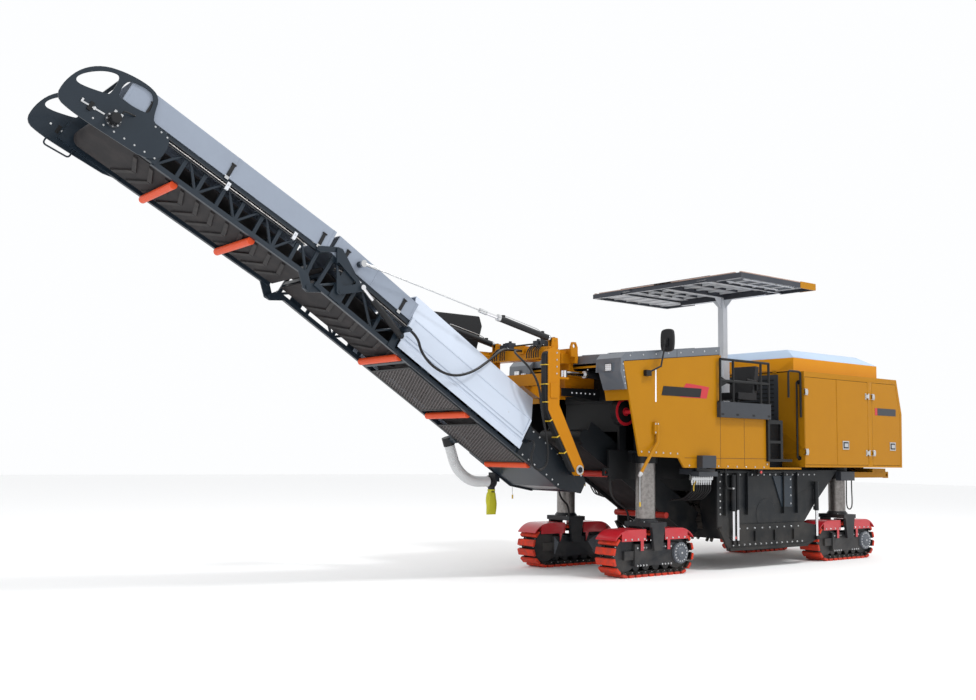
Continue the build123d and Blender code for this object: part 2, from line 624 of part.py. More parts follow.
def platform_parts():
    """Side boxes, guard rails, consoles and seats of the operator platform."""
    half = BODY_HALF
    outer = MODULE_HALF
    rails = []
    rail_y = outer - 25
    top = 3095.0
    pipe = 19.0
    posts = (1165, 870, 215, 20)
    for side in (1, -1):
        y = side * rail_y
        group = [block(0, 1188, side * (half + FIT), side * outer, 2240, 2470)]
        for x in posts:
            group.append(rod((x, y, 2460), (x, y, top), pipe))
        group.append(rod((1165, y, top), (20, y, top), pipe))
        group.append(rod((1165, y, 2780), (20, y, 2780), pipe))
        for x in posts:
            group.append(block(x - 35, x + 35, y - 22, y + 22, 2465, 2482))
        rails.append(fused(group[0], group[1:]))
    keep("platform_rails", rails)
    stations = []
    for side in (1, -1):
        y = side * 640
        pedestal = block(820, 1040, y - 170, y + 170, DECK_Z, 2760)
        desk = side_plate([(640, 2780), (660, 2820), (1060, 2980), (1075, 2740), (820, 2700)], y - 300,
                          y + 300)
        stations.append(fused(pedestal, desk))
        column = rod((60, y, DECK_Z), (60, y, 2560), 50)
        seat = block(-150, 300, y - 230, y + 230, 2550, 2660)
        back = side_plate([(-150, 2600), (-230, 3080), (-140, 3090), (-50, 2600)], y - 220, y + 220)
        stations.append(fused(column, seat, back))
    keep("operator_stations", stations)


def ladders():
    """Access steps at the platform recess and the grab bars on the module corner."""
    y0 = BODY_HALF + FIT
    y1 = BODY_HALF + 40
    bars = [block(-10, 40, y0, y1, 1600, 2235), block(-330, -270, y0, y1, 1600, 2235),
            block(-330, 40, y0, y1, 2175, 2235), block(-330, 40, y0, y1, 1880, 1920),
            block(-560, 40, y0, y1, 1600, 1640)]
    treads = [block(-330, -45, 1000, y1, z, z + 30) for z in (1605, 1885, 2190)]
    brace = side_plate([(-300, 1915), (-300, 1885), (-400, 1885), (-555, 1620), (-510, 1620), (-385, 1915)],
                       y0, y1 - 4)
    keep("access_ladders", both(fused(bars[0], bars[1:], treads, brace)))


def canopy():
    """Weather canopy on its telescopic mast."""
    z = CANOPY_Z
    x0, x1 = CANOPY_REAR_X, CANOPY_FRONT_X
    centre = block(x0 + 60, x1 - 60, -930, 930, z + 70, z + 100)
    rims = [block(x0 + 30, x1 - 30, -930, -890, z + 10, z + 105), block(x0 + 30, x1 - 30, 890, 930, z + 10,
                                                                        z + 105),
            block(x0 + 30, x0 + 80, -930, 930, z + 10, z + 105), block(x1 - 80, x1 - 30, -930, 930, z + 10,
                                                                       z + 105)]
    wings = []
    for side in (1, -1):
        wings.append(block(x0, x1, side * 700, side * CANOPY_HALF, z + 40, z + 75))
        wings.append(block(x0, x1, side * (CANOPY_HALF - 40), side * CANOPY_HALF, z, z + 75))
        wings.append(block(x0, x0 + 40, side * 900, side * CANOPY_HALF, z, z + 75))
        wings.append(block(x1 - 40, x1, side * 900, side * CANOPY_HALF, z, z + 75))
    beams = [block(MAST_X - 40, MAST_X + 40, -880, 880, z - 40, z + 75),
             block(x0 + 80, x1 - 80, -60, 60, z, z + 75)]
    inner_mast = block(MAST_X - 55, MAST_X + 55, -55, 55, 3065, z - 10)
    gussets = side_plate([(MAST_X - 200, z), (MAST_X - 50, z - 190), (MAST_X + 50, z - 190),
                          (MAST_X + 200, z)],
                         -8, 8)
    cross = cross_plate([(-220, z - 20), (-50, z - 190), (50, z - 190), (220, z - 20)], MAST_X - 8,
                        MAST_X + 8)
    keep("canopy", fused(centre, rims, wings, beams, inner_mast, gussets, cross))
    sleeve = block(MAST_X - 75, MAST_X + 75, -75, 75, DECK_Z, 3280)
    bore = block(MAST_X - 55 - PIN_FIT, MAST_X + 55 + PIN_FIT, -55 - PIN_FIT, 55 + PIN_FIT, DECK_Z - 60, 3300)
    foot = block(MAST_X - 150, MAST_X + 150, -150, 150, DECK_Z, DECK_Z + 20)
    keep("canopy_mast", fused(sleeve, foot) - bore)


# ---------------------------------------------------------------- engine module
def door_outline(name, hinge_x, free_x, grow=0.0):
    """Outline of a door in X and Z; the rear door follows the raked rear edge."""
    toward = 1 if hinge_x > free_x else -1
    near = hinge_x + toward * grow
    far = free_x - toward * grow
    low, high = DOOR_BOTTOM_Z - grow, DOOR_TOP_Z + grow
    if name == "door_rear":
        return [(near, low), (far, low), (far - 10, RAKE_Z), (far + 115, high), (near, high)]
    return [(near, low), (far, low), (far, high), (near, high)]


def module_shell():
    """Hollow engine module: floor, end walls, door frames, roof rails and hinge lugs."""
    half = MODULE_HALF
    front, rear = MODULE_FRONT_X, MODULE_REAR_X
    profile = [(front, MODULE_FLOOR_Z), (rear, MODULE_FLOOR_Z), (rear - 20, RAKE_Z),
               (ROOF_REAR_X, MODULE_ROOF_Z),
               (front, MODULE_ROOF_Z)]
    inner = [(front - 36, MODULE_FLOOR_Z + 36), (rear + 36, MODULE_FLOOR_Z + 36), (rear + 16, RAKE_Z),
             (ROOF_REAR_X + 30, MODULE_ROOF_Z - 36), (front - 36, MODULE_ROOF_Z - 36)]
    shell = side_plate(profile, -half, half)
    shell = shell - side_plate(inner, -half + DOOR_THICKNESS + 8, half - DOOR_THICKNESS - 8)
    for side in (1, -1):
        for name, hinge_x, free_x in DOORS:
            shell -= side_plate(door_outline(name, hinge_x, free_x, RUN), side * (half - 60),
                                side * (half + 5))
    shell -= block(-3420, -1000, -half + 220, half - 220, MODULE_ROOF_Z - 60, MODULE_ROOF_Z + 20)
    for side in (1, -1):
        shell -= rod((-AXLE_X, side * AXLE_Y, MODULE_FLOOR_Z - 50),
                     (-AXLE_X, side * AXLE_Y, MODULE_FLOOR_Z + 90),
                     SLEEVE_RADIUS + FIT)
    lugs = []
    for side in (1, -1):
        y = side * (half + HINGE_OUT)
        for name, hinge_x, free_x in DOORS:
            toward = 1 if hinge_x > free_x else -1
            for z in HINGE_Z:
                lugs.append(rod((hinge_x, y, z - 48), (hinge_x, y, z + 48), HINGE_PIN_RADIUS))
                for z_lug in (z - 48, z + 36):
                    lugs.append(block(hinge_x - toward * 8, hinge_x + toward * 34, y - 8, y + 8, z_lug,
                                      z_lug + 12))
                    lugs.append(block(hinge_x + toward * (RUN + 3), hinge_x + toward * 34, side * (half - 4),
                                      y,
                                      z_lug, z_lug + 12))
    ears = []
    for side in (1, -1):
        y = side * HOOD_HINGE_Y
        ear = block(HOOD_HINGE_X - HOOD_EAR_RADIUS, HOOD_HINGE_X + HOOD_EAR_RADIUS, y - 30, y + 30,
                    MODULE_ROOF_Z - 5,
                    HOOD_HINGE_Z)
        tip = rod((HOOD_HINGE_X, y - 30, HOOD_HINGE_Z), (HOOD_HINGE_X, y + 30, HOOD_HINGE_Z), HOOD_EAR_RADIUS)
        bore = rod((HOOD_HINGE_X, y - 80, HOOD_HINGE_Z), (HOOD_HINGE_X, y + 80, HOOD_HINGE_Z),
                   HOOD_PIN_RADIUS + PIN_FIT)
        ears.append(ear.fuse(tip) - bore)
    keep("module_shell", fused(shell, lugs, ears))


def module_doors():
    """Six side doors hung on outside hinges."""
    half = MODULE_HALF
    for side, label in ((1, "left_"), (-1, "right_")):
        y = side * (half + HINGE_OUT)
        for name, hinge_x, free_x in DOORS:
            toward = 1 if hinge_x > free_x else -1
            panel = side_plate(door_outline(name, hinge_x, free_x), side * (half - DOOR_THICKNESS),
                               side * half)
            knuckles = []
            for z in HINGE_Z:
                knuckles.append(rod((hinge_x, y, z - 30), (hinge_x, y, z + 30), KNUCKLE_RADIUS))
                knuckles.append(block(hinge_x, hinge_x - toward * 60, side * (half - 4), y, z - 30, z + 30))
            door = fused(panel, knuckles)
            for z in HINGE_Z:
                door -= rod((hinge_x, y, z - 60), (hinge_x, y, z + 60), HINGE_PIN_RADIUS + PIN_FIT)
            keep(label + name, door)


def engine_hood():
    """Hollow engine hood with a chamfered top, hinged at its front edge."""
    def solid(inset, drop):
        x0, x1 = HOOD_REAR_X + inset, HOOD_FRONT_X - inset
        y = HOOD_HALF - inset
        body = block(x0, x1, -y, y, HOOD_BASE_Z - (5 if inset else 0), HOOD_SHOULDER_Z - drop)
        low = Plane.XY.offset(HOOD_SHOULDER_Z - drop) * Pos((x0 + x1) / 2, 0) * Rectangle(x1 - x0, 2 * y)
        high = Plane.XY.offset(HOOD_TOP_Z - drop) * Pos((x0 + x1) / 2 - 20, 0) * Rectangle(x1 - x0 - 420,
                                                                                           2 * y - 560)
        return body.fuse(loft([low, high]))

    hood = solid(0, 0) - solid(30, 30)
    pins = []
    for side in (1, -1):
        y = side * HOOD_HINGE_Y
        pins.append(rod((HOOD_HINGE_X, y - 60, HOOD_HINGE_Z), (HOOD_HINGE_X, y + 60, HOOD_HINGE_Z),
                        HOOD_PIN_RADIUS))
        for edge in (y - 50, y + 50):
            pins.append(block(HOOD_FRONT_X - 10, HOOD_FRONT_X + 30, edge - 10, edge + 10, HOOD_BASE_Z,
                              HOOD_BASE_Z + 24))
    keep("engine_hood", fused(hood, pins))


def engine():
    """Engine as one plain block on the module floor."""
    block_body = block(-2800, -1250, -420, 420, MODULE_FLOOR_Z + 36 + FIT, 2820)
    keep("engine_block", block_body)


# ---------------------------------------------------------------- slewing bracket
def slew_mount():
    """Fixed nose frame: two cross beams with cylinder brackets, a post and a spine with the slewing hubs."""
    half = 170.0
    rear = NOSE_REAR_X + FIT
    hub_base = HUB_TOP_Z - HUB_HEIGHT
    hub_cap = HUB_LOW_Z + 115
    upper = side_plate([(rear, 2780), (rear, 2860), (3090, 2860), (3120, 2900), (3120, 3140), (3160, 3180),
                        (3150, HUB_TOP_Z - 10), (SLEW_X, HUB_TOP_Z), (SLEW_X, hub_base), (3200, hub_base),
                        (3190, 2780)],
                       -half, half)
    lower = side_plate([(rear, 2450), (rear, hub_cap + 15), (SLEW_X, hub_cap), (SLEW_X, HUB_LOW_Z),
                        (3130, HUB_LOW_Z)],
                       -half, half)
    web = block(rear, 3170, -60, 60, hub_cap - 5, 2800)
    hub_top = rod((SLEW_X, 0, hub_base), (SLEW_X, 0, HUB_TOP_Z), 150)
    hub_low = rod((SLEW_X, 0, HUB_LOW_Z), (SLEW_X, 0, hub_cap), 150)
    ears = []
    for side in (1, -1):
        ear = side_plate([(3125, 3050), (3125, 3190), (3160, 3260), (3230, 3260), (3260, 3190), (3250, 3050)],
                         side * 240, side * 270, 12)
        ears.append(ear - rod((3192, side * 230, 3205), (3192, side * 280, 3205), LIFT_EYE_RADIUS))
        ears.append(block(3120, 3180, side * 160, side * 270, 2960, 3100))
    spine = fused(upper, lower, web, hub_top, hub_low, ears)
    spine -= rod((SLEW_X, 0, HUB_LOW_Z - 90), (SLEW_X, 0, HUB_TOP_Z + 100), 80 + PIN_FIT)
    low_top = SLEW_CYLINDER_Z - HORN_HALF
    top_low = SLEW_CYLINDER_Z + HORN_HALF
    low_beam = block(2540, NOSE_REAR_X, -CHASSIS_HALF, CHASSIS_HALF, NOSE_BEAM_Z, low_top)
    top_beam = block(2540, NOSE_REAR_X, -CHASSIS_HALF, CHASSIS_HALF, top_low, 2900)
    post_half = SLEW_CYLINDER_Y - 95
    post = block(2540, NOSE_REAR_X, -post_half, post_half, low_top + FIT, top_low - FIT)
    low_arms = []
    top_arms = []
    pins = []
    for side in (1, -1):
        y = side * SLEW_CYLINDER_Y
        low_arms.append(block(SLEW_BASE_X - 60, 2545, y - 50, y + 50, low_top - 32, low_top))
        top_arms.append(block(SLEW_BASE_X - 60, 2545, y - 50, y + 50, top_low, top_low + 32))
        pins.append(rod((SLEW_BASE_X, y, low_top + FIT), (SLEW_BASE_X, y, top_low - FIT), 20))
    keep("slew_mount", spine, fused(low_beam, low_arms), fused(top_beam, top_arms), post, pins)


def slew_bracket():
    """Slewing bracket with two arms, a crown, horns for the cylinders and the strut lugs."""
    half = ARM_THICKNESS / 2
    outline = [(3840, CROWN_TOP_Z - 60), (3850, 2330), (3390, 1500), (3400, 1400), (3500, 1380), (3560, 1460),
               (4050, 2260), (4060, CROWN_TOP_Z - 60), (3950, CROWN_TOP_Z - 10)]
    arm = side_plate(outline, ARM_Y - half, ARM_Y + half, 25)
    arm -= rod((LIFT_X, 0, LIFT_Z), (LIFT_X, 1000, LIFT_Z), 40 + PIN_FIT)
    rear = SLEW_X - 140
    top = HUB_TOP_Z + FIT
    low = HUB_LOW_Z - FIT
    upper = side_plate([(rear, top), (rear, top + 45), (3990, CROWN_TOP_Z + 40), (3990, CROWN_LOW_Z),
                        (3700, CROWN_LOW_Z),
                        (3600, top)], -110, 110)
    lower = side_plate([(rear, low), (rear, low - 45), (3700, low - 45), (4000, 2600), (4000, 2700),
                        (3700, 2640),
                        (3600, low)], -110, 110)
    beams = [block(3840, 4000, -ARM_Y, ARM_Y, CROWN_LOW_Z, CROWN_TOP_Z),
             block(3840, 4000, -ARM_Y, ARM_Y, 2600, 2760)]
    pin = rod((SLEW_X, 0, low - 30), (SLEW_X, 0, top + 30), 80)
    parts = []
    horn_top = SLEW_CYLINDER_Z - HORN_HALF - FIT
    for side in (1, -1):
        y = side * STRUT_Y
        for inset in (22, -40):
            lug = [(3840, CROWN_TOP_Z - 20), (3850, STRUT_Z + 30), (3950, STRUT_Z + 30),
                   (3960, CROWN_TOP_Z - 20)]
            parts.append(side_plate(lug, y + inset, y + inset + 18, 12))
        parts.append(rod((STRUT_X, y - 45, STRUT_Z), (STRUT_X, y + 45, STRUT_Z), 16))
        parts.append(block(SLEW_EYE_X - 50, 3860, side * 390, side * 470, horn_top - 30, horn_top))
        parts.append(block(3840, 3870, side * 390, side * 600, 2650, horn_top))
    parts.append(block(3990, BRACKET_GLAND_X, 10, 140, CROWN_TOP_Z - 80, CROWN_TOP_Z + 10))
    parts.append(block(3990, 4330, -740, -650, HOOD_SEAT_Z - 70, HOOD_SEAT_Z))
    keep("slew_bracket", fused(beams[0], beams[1], upper, lower, pin, both(arm), parts))


def suction_hood():
    """Sheet housing of the dust fan beside the right arm of the bracket."""
    seat = HOOD_SEAT_Z + FIT
    outline = [(4990, 3632), (4150, 3632), (4100, 3490), (4200, seat), (4420, seat), (4990, 3480)]
    keep("suction_hood", side_plate(outline, -980, -700, 25))


def slew_cylinders():
    """Slewing cylinders: barrels on the chassis, rods to the bracket horns."""
    for side, label in ((1, "left_"), (-1, "right_")):
        y = side * SLEW_CYLINDER_Y
        z = SLEW_CYLINDER_Z
        barrel = tube((SLEW_BASE_X + 40, y, z), (SLEW_BASE_X + 850, y, z), 50, 28 + PIN_FIT)
        cap = rod((SLEW_BASE_X + 20, y, z), (SLEW_BASE_X + 60, y, z), 50)
        eye = rod((SLEW_BASE_X, y, z - 45), (SLEW_BASE_X, y, z + 45), 48)
        body = fused(barrel, cap, eye) - rod((SLEW_BASE_X, y, z - 60), (SLEW_BASE_X, y, z + 60), 20 + PIN_FIT)
        keep(label + "slew_barrel", body)
        piston = rod((SLEW_EYE_X - 780, y, z), (SLEW_EYE_X, y, z), 28)
        end = rod((SLEW_EYE_X, y, z - HORN_HALF), (SLEW_EYE_X, y, z + 34), 42)
        keep(label + "slew_rod", fused(piston, end))


# ---------------------------------------------------------------- discharge conveyor
LOWER = Pos(CONVEYOR_X, 0, CONVEYOR_Z) * Rot(0, -LOWER_SLOPE, 0)
FOLD_POINT = LOWER * Pos(FOLD_S, 0, FOLD_H)
UPPER = FOLD_POINT * Rot(0, LOWER_SLOPE - UPPER_SLOPE, 0) * Pos(0, 0, UPPER_H)


def to_lower(x, z):
    """Coordinates along and across the lower conveyor of a point of the machine frame."""
    slope = math.radians(LOWER_SLOPE)
    dx, dz = x - CONVEYOR_X, z - CONVEYOR_Z
    return (dx * math.cos(slope) + dz * math.sin(slope), -dx * math.sin(slope) + dz * math.cos(slope))


def truss_side(start, end, depth, bays):
    """Side truss: two chords, posts and diagonals between the given distances."""
    y0, y1 = TRUSS_HALF - 45, TRUSS_HALF
    chord = TRUSS_CHORD
    parts = [block(start, end, y0, y1, 0, chord), block(start, end, y0, y1, depth - chord, depth)]
    step = (end - start - chord) / bays
    for index in range(bays + 1):
        x = start + index * step
        parts.append(block(x, x + chord * 0.8, y0 + 6, y1 - 6, chord / 2, depth - chord / 2))
    for index in range(bays):
        x = start + index * step + chord * 0.4
        up = index % 2 == 0
        z0, z1 = (chord / 2, depth - chord / 2) if up else (depth - chord / 2, chord / 2)
        parts.append(rod((x, (y0 + y1) / 2, z0), (x + step, (y0 + y1) / 2, z1), 17))
    return fused(parts[0], parts[1:])


def lower_conveyor():
    """Lower conveyor: truss with a foot housing, cover, belt, mesh and rollers."""
    lift_s, lift_h = to_lower(LIFT_X, LIFT_Z)
    end = FOLD_S - 60
    foot = side_plate([(-330, 150), (60, -5), (940, 0), (940, 430), (100, 430), (-200, 400), (-330, 330)],
                      TRUSS_HALF + 4, TRUSS_HALF + 28, 20)
    truss = truss_side(TRUSS_START, end, TRUSS_DEPTH, TRUSS_BAYS)
    bay = (end - TRUSS_START - TRUSS_CHORD) / TRUSS_BAYS
    rail = block(560, 950, TRUSS_HALF - 45, TRUSS_HALF + 10, 0, 90)
    pin = rod((lift_s, TRUSS_HALF, lift_h), (lift_s, ARM_Y + ARM_THICKNESS / 2 + 15, lift_h), 40)
    boss = rod((lift_s, TRUSS_HALF, lift_h), (lift_s, ARM_Y - ARM_THICKNESS / 2 - FIT, lift_h), 75)
    cable_s, cable_h = to_lower(CABLE_PIN_X, CABLE_PIN_Z)
    cable_boss = rod((cable_s, TRUSS_HALF - 30, cable_h), (cable_s, STRUT_Y - 22, cable_h), 38)
    seat_h = TRUSS_DEPTH + FIT
    cable_lug = side_plate([(cable_s - 150, seat_h), (cable_s + 200, seat_h), (cable_s + 40, cable_h + 30),
                            (cable_s - 40, cable_h + 30)], TRUSS_HALF - 30, TRUSS_HALF)
    crank_pin_s, crank_pin_h = to_lower(*CRANK_PIN)
    crank_pin = rod((crank_pin_s, TRUSS_HALF + 2, crank_pin_h), (crank_pin_s, CRANK_Y + 26, crank_pin_h), 26)
    cyl_s, cyl_h = to_lower(*FOLD_CYLINDER_PIN)
    cyl_pin = rod((cyl_s, TRUSS_HALF + 2, cyl_h), (cyl_s, CRANK_Y + 78, cyl_h), 18)
    cyl_plate = block(cyl_s - GLAND_REACH, cyl_s + 60, TRUSS_HALF + FIT, TRUSS_HALF + 20, 10, 305)
    crank_plate = block(crank_pin_s - 90, crank_pin_s + 90, TRUSS_HALF + FIT, TRUSS_HALF + 20, 10, 440)
    hinge_lug = side_plate([(end - 160, 20), (end + 20, 20), (FOLD_S + 45, FOLD_H - 40),
                            (FOLD_S - 40, FOLD_H - 45)],
                           TRUSS_HALF - 45, TRUSS_HALF - 25, 8)
    hinge_pin = rod((FOLD_S, TRUSS_HALF - 60, FOLD_H), (FOLD_S, TRUSS_HALF + 12, FOLD_H), 22)
    sides = []
    for one in (foot, truss, rail, pin, boss, hinge_lug, hinge_pin):
        sides.extend(both(one))
    crosses = []
    for index in range(0, TRUSS_BAYS + 1, 2):
        x = TRUSS_START + index * bay
        crosses.append(block(x + 2, x + 40, -TRUSS_HALF + 10, TRUSS_HALF - 10, 150, 200))
    crosses.append(block(-320, -290, -TRUSS_HALF - 10, TRUSS_HALF + 10, 160, 320))
    crosses.append(side_plate([(-300, 170), (60, 20), (560, 10), (560, 30), (70, 40), (-300, 190)],
                              -TRUSS_HALF - 8,
                              TRUSS_HALF + 8))
    crosses.append(block(3000, 3040, -TRUSS_HALF + 10, TRUSS_HALF - 10, 0, 40))
    gland_bar = block(cyl_s - GLAND_REACH, cyl_s + 20, TRUSS_HALF + 5, 690, 262, 300)
    truss_body = LOWER * fused(sides[0], sides[1:], crosses)
    foot_face = TRUSS_HALF + 20
    gland = rod((FOOT_GLAND_X, foot_face, FOOT_GLAND_Z), (FOOT_GLAND_X, FOOT_GLAND_Y, FOOT_GLAND_Z), 30)
    elbow = rod((DUCT_END_X - FIT, DUCT_Y, DUCT_END_Z), (DUCT_END_X - 95, DUCT_Y, DUCT_END_Z),
                DUCT_RADIUS + 10)
    neck = rod((NECK_X, DUCT_Y, DUCT_END_Z), (NECK_X, DUCT_Y, BAG_TOP_Z), 50)
    stay = block(DUCT_END_X - 85, DUCT_END_X - 5, DUCT_Y, -foot_face + 5, DUCT_END_Z, DUCT_END_Z + 130)
    top = Vector(*DUCT_ROUTE[0])
    away = (top - Vector(*DUCT_ROUTE[1])).normalized()
    socket = rod(top + away * FIT, top + away * 120, DUCT_RADIUS + 6)
    socket_stay = LOWER * block(1215, 1290, DUCT_Y, -TRUSS_HALF + 30, -20, 50)
    brackets = both(fused(cable_lug, cable_boss)) + both(fused(crank_plate, crank_pin))
    brackets.append(fused(cyl_plate, cyl_pin, gland_bar))
    brackets.append(mirror(fused(cyl_plate, cyl_pin), about=Plane.XZ))
    keep("lower_truss", fused(truss_body, gland, elbow, neck, stay, socket, socket_stay),
         [LOWER * one for one in brackets])
    belt = [block(40, FOLD_S - 55, -400, 400, 264, 280), block(40, FOLD_S - 55, -400, 400, 80, 96)]
    tail = rod((40, -400, 180), (40, 400, 180), 100)
    axle = rod((40, -TRUSS_HALF - 4 + FIT, 180), (40, TRUSS_HALF + 4 - FIT, 180), 30)
    rollers = []
    for s in (3110, 1850, 640):
        rollers.append(rod((s, -TRUSS_HALF + 45 + FIT, 8), (s, TRUSS_HALF - 45 - FIT, 8), 45))
    keep("lower_belt", LOWER * fused(belt[0], belt[1], tail, axle), [LOWER * one for one in rollers])
    mesh = []
    for s0, s1 in ((1980, 2920), (720, 1650)):
        mesh.append(block(s0, s1, -TRUSS_HALF + 45 + FIT, TRUSS_HALF - 45 - FIT, -8, 4))
    keep("belt_guards", [LOWER * one for one in mesh])
    cover_outline = [(556, 60), (556, 150), (530, 175), (512, 520), (330, 860), (-330, 860), (-512, 520),
                     (-530, 175),
                     (-556, 150), (-556, 60), (-544, 60), (-544, 146), (-519, 170), (-501, 515), (-322, 846),
                     (322, 846), (501, 515), (519, 170), (544, 146), (544, 60)]
    cover = cross_plate(cover_outline, 960, 3260)
    tabs = []
    for s in (1000, 2100, 3200, 3400, 4480):
        for side in (1, -1):
            tabs.append(block(s, s + 40, side * (TRUSS_HALF - 13), side * 503, 455 + FIT, 480))
    rim = [(506, 456), (506, 700), (470, 716), (-470, 716), (-506, 700), (-506, 456), (-494, 456),
           (-494, 690),
           (-462, 703), (462, 703), (494, 690), (494, 456)]
    second = cross_plate(rim, 3264, FOLD_S - 15)
    cover = fused(cover, tabs[:6])
    second = fused(second, tabs[6:])
    second -= rod((cable_s, -STRUT_Y, cable_h), (cable_s, STRUT_Y, cable_h), 38 + FIT)
    keep("lower_cover", LOWER * cover, LOWER * second)


def upper_conveyor():
    """Upper conveyor from the fold hinge to the tip: truss, guards, cover, belt and rollers."""
    start = UPPER_START
    guard_s = UPPER_LENGTH - 1180
    end = UPPER_LENGTH - 1130
    truss = truss_side(start, end, 400, TRUSS_BAYS)
    low = -UPPER_H
    lug = side_plate([(-45, low - 40), (35, low - 45), (190, 10), (190, 50), (70, 50), (-42, low + 32)],
                     TRUSS_HALF - 22, TRUSS_HALF, 8)
    lug -= rod((0, TRUSS_HALF - 70, low), (0, TRUSS_HALF + 20, low), 22 + PIN_FIT)
    horn = side_plate([(start + 10, 340), (start + 70, 390), (-110, 535), (-150, 495)], CRANK_Y - 14,
                      CRANK_Y - 2)
    horn = fused(horn, block(start, start + 60, TRUSS_HALF - 20, CRANK_Y - 4, 345, 385))
    # tip guard: plate with a hoop over the head drum
    g = guard_s
    hoop = side_plate([(g, 0), (g + 840, -58), (g + 1180, -20), (g + 1180, 200), (g + 1020, 540),
                       (g + 500, 740),
                       (g + 340, 680), (g + 280, 400), (g, 378)], TRUSS_HALF + 20, TRUSS_HALF + 36, 60)
    windows = [side_plate([(g + 790, 395), (g + 1060, 365), (g + 830, 565)], TRUSS_HALF, TRUSS_HALF + 60, 25),
               side_plate([(g + 360, 480), (g + 650, 410), (g + 690, 590), (g + 450, 680)], TRUSS_HALF,
                          TRUSS_HALF + 60, 30),
               side_plate([(g + 980, 10), (g + 1130, 60), (g + 1010, 170)], TRUSS_HALF, TRUSS_HALF + 60, 25)]
    hoop = hoop - windows[0] - windows[1] - windows[2]
    doubler = block(g + 20, g + 820, TRUSS_HALF - 20, TRUSS_HALF + 24, 10, 250)
    sides = []
    for one in (truss, lug, horn, hoop, doubler):
        sides.extend(both(one))
    bay = (end - start - TRUSS_CHORD) / TRUSS_BAYS
    crosses = []
    for index in range(0, TRUSS_BAYS + 1, 2):
        s = start + index * bay
        crosses.append(block(s + 2, s + 40, -TRUSS_HALF + 10, TRUSS_HALF - 10, 150, 200))
    keep("upper_truss", UPPER * fused(sides[0], sides[1:], crosses))
    drum_s, drum_h = g + 608, 135
    belt_end = drum_s
    belt = [block(60, belt_end, -400, 400, 226, 242), block(60, belt_end, -400, 400, 28, 44)]
    head = rod((drum_s, -400, drum_h), (drum_s, 400, drum_h), 107)
    axle = rod((drum_s, -TRUSS_HALF + 20 + FIT, drum_h), (drum_s, TRUSS_HALF - 20 - FIT, drum_h), 34)
    rollers = []
    for s in (830, 1870):
        rollers.append(rod((s, -TRUSS_HALF + 45 + FIT, -24), (s, TRUSS_HALF - 45 - FIT, -24), 45))
    keep("upper_belt", UPPER * fused(belt[0], belt[1], head, axle), [UPPER * one for one in rollers])
    rim = [(506, 402), (506, 680), (470, 696), (-470, 696), (-506, 680), (-506, 402), (-494, 402),
           (-494, 670),
           (-462, 683), (462, 683), (494, 670), (494, 402)]
    cover = cross_plate(rim, -8, g + 640)
    tabs = []
    for s in (200, 1000, 1800):
        for side in (1, -1):
            tabs.append(block(s, s + 40, side * (TRUSS_HALF - 13), side * 500, 400 + FIT, 430))
    keep("upper_cover", UPPER * fused(cover, tabs))


def fold_linkage():
    """Crank plates and cylinders that fold the upper conveyor."""
    crank_s, crank_h = to_lower(*CRANK_PIN)
    top_s, top_h = to_lower(*CRANK_TOP)
    right_s, right_h = to_lower(*CRANK_EYE)
    base_s, base_h = to_lower(*FOLD_CYLINDER_PIN)
    y = CRANK_Y
    outline = [(crank_s + 40, crank_h - 40), (top_s + 45, top_h + 20), (top_s - 30, top_h + 45),
               (right_s - 45, right_h),
               (right_s - 20, right_h - 45), (crank_s, crank_h - 55)]
    plate = side_plate(outline, y, y + 22, 20)
    window = side_plate([(crank_s + 10, crank_h + 70), (top_s - 10, top_h - 110),
                         (right_s + 70, right_h + 5)], y - 5,
                        y + 30, 20)
    plate = plate - window - rod((crank_s, y - 10, crank_h), (crank_s, y + 40, crank_h), 26 + PIN_FIT)
    pin = rod((right_s, y + 10, right_h), (right_s, y + 30 - FIT, right_h), 18)
    crank = fused(plate, pin)
    keep("fold_cranks", [LOWER * one for one in both(crank)])
    span_s, span_h = right_s - base_s, right_h - base_h
    length = math.hypot(span_s, span_h)
    us, uh = span_s / length, span_h / length
    cy = y + 50

    def along(d):
        return (base_s + us * d, cy, base_h + uh * d)

    barrel = tube(along(40), along(560), 38, 20 + PIN_FIT)
    cap = rod(along(20), along(60), 38)
    eye = rod((base_s, cy - 24, base_h), (base_s, cy + 24, base_h), 40)
    body = fused(barrel, cap, eye) - rod((base_s, cy - 60, base_h), (base_s, cy + 60, base_h), 18 + PIN_FIT)
    keep("fold_barrels", [LOWER * one for one in both(body)])
    piston = fused(rod(along(110), along(length - 10), 20),
                   rod((right_s, cy - 20, right_h), (right_s, cy + 20, right_h), 32))
    keep("fold_rods", [LOWER * one for one in both(piston)])


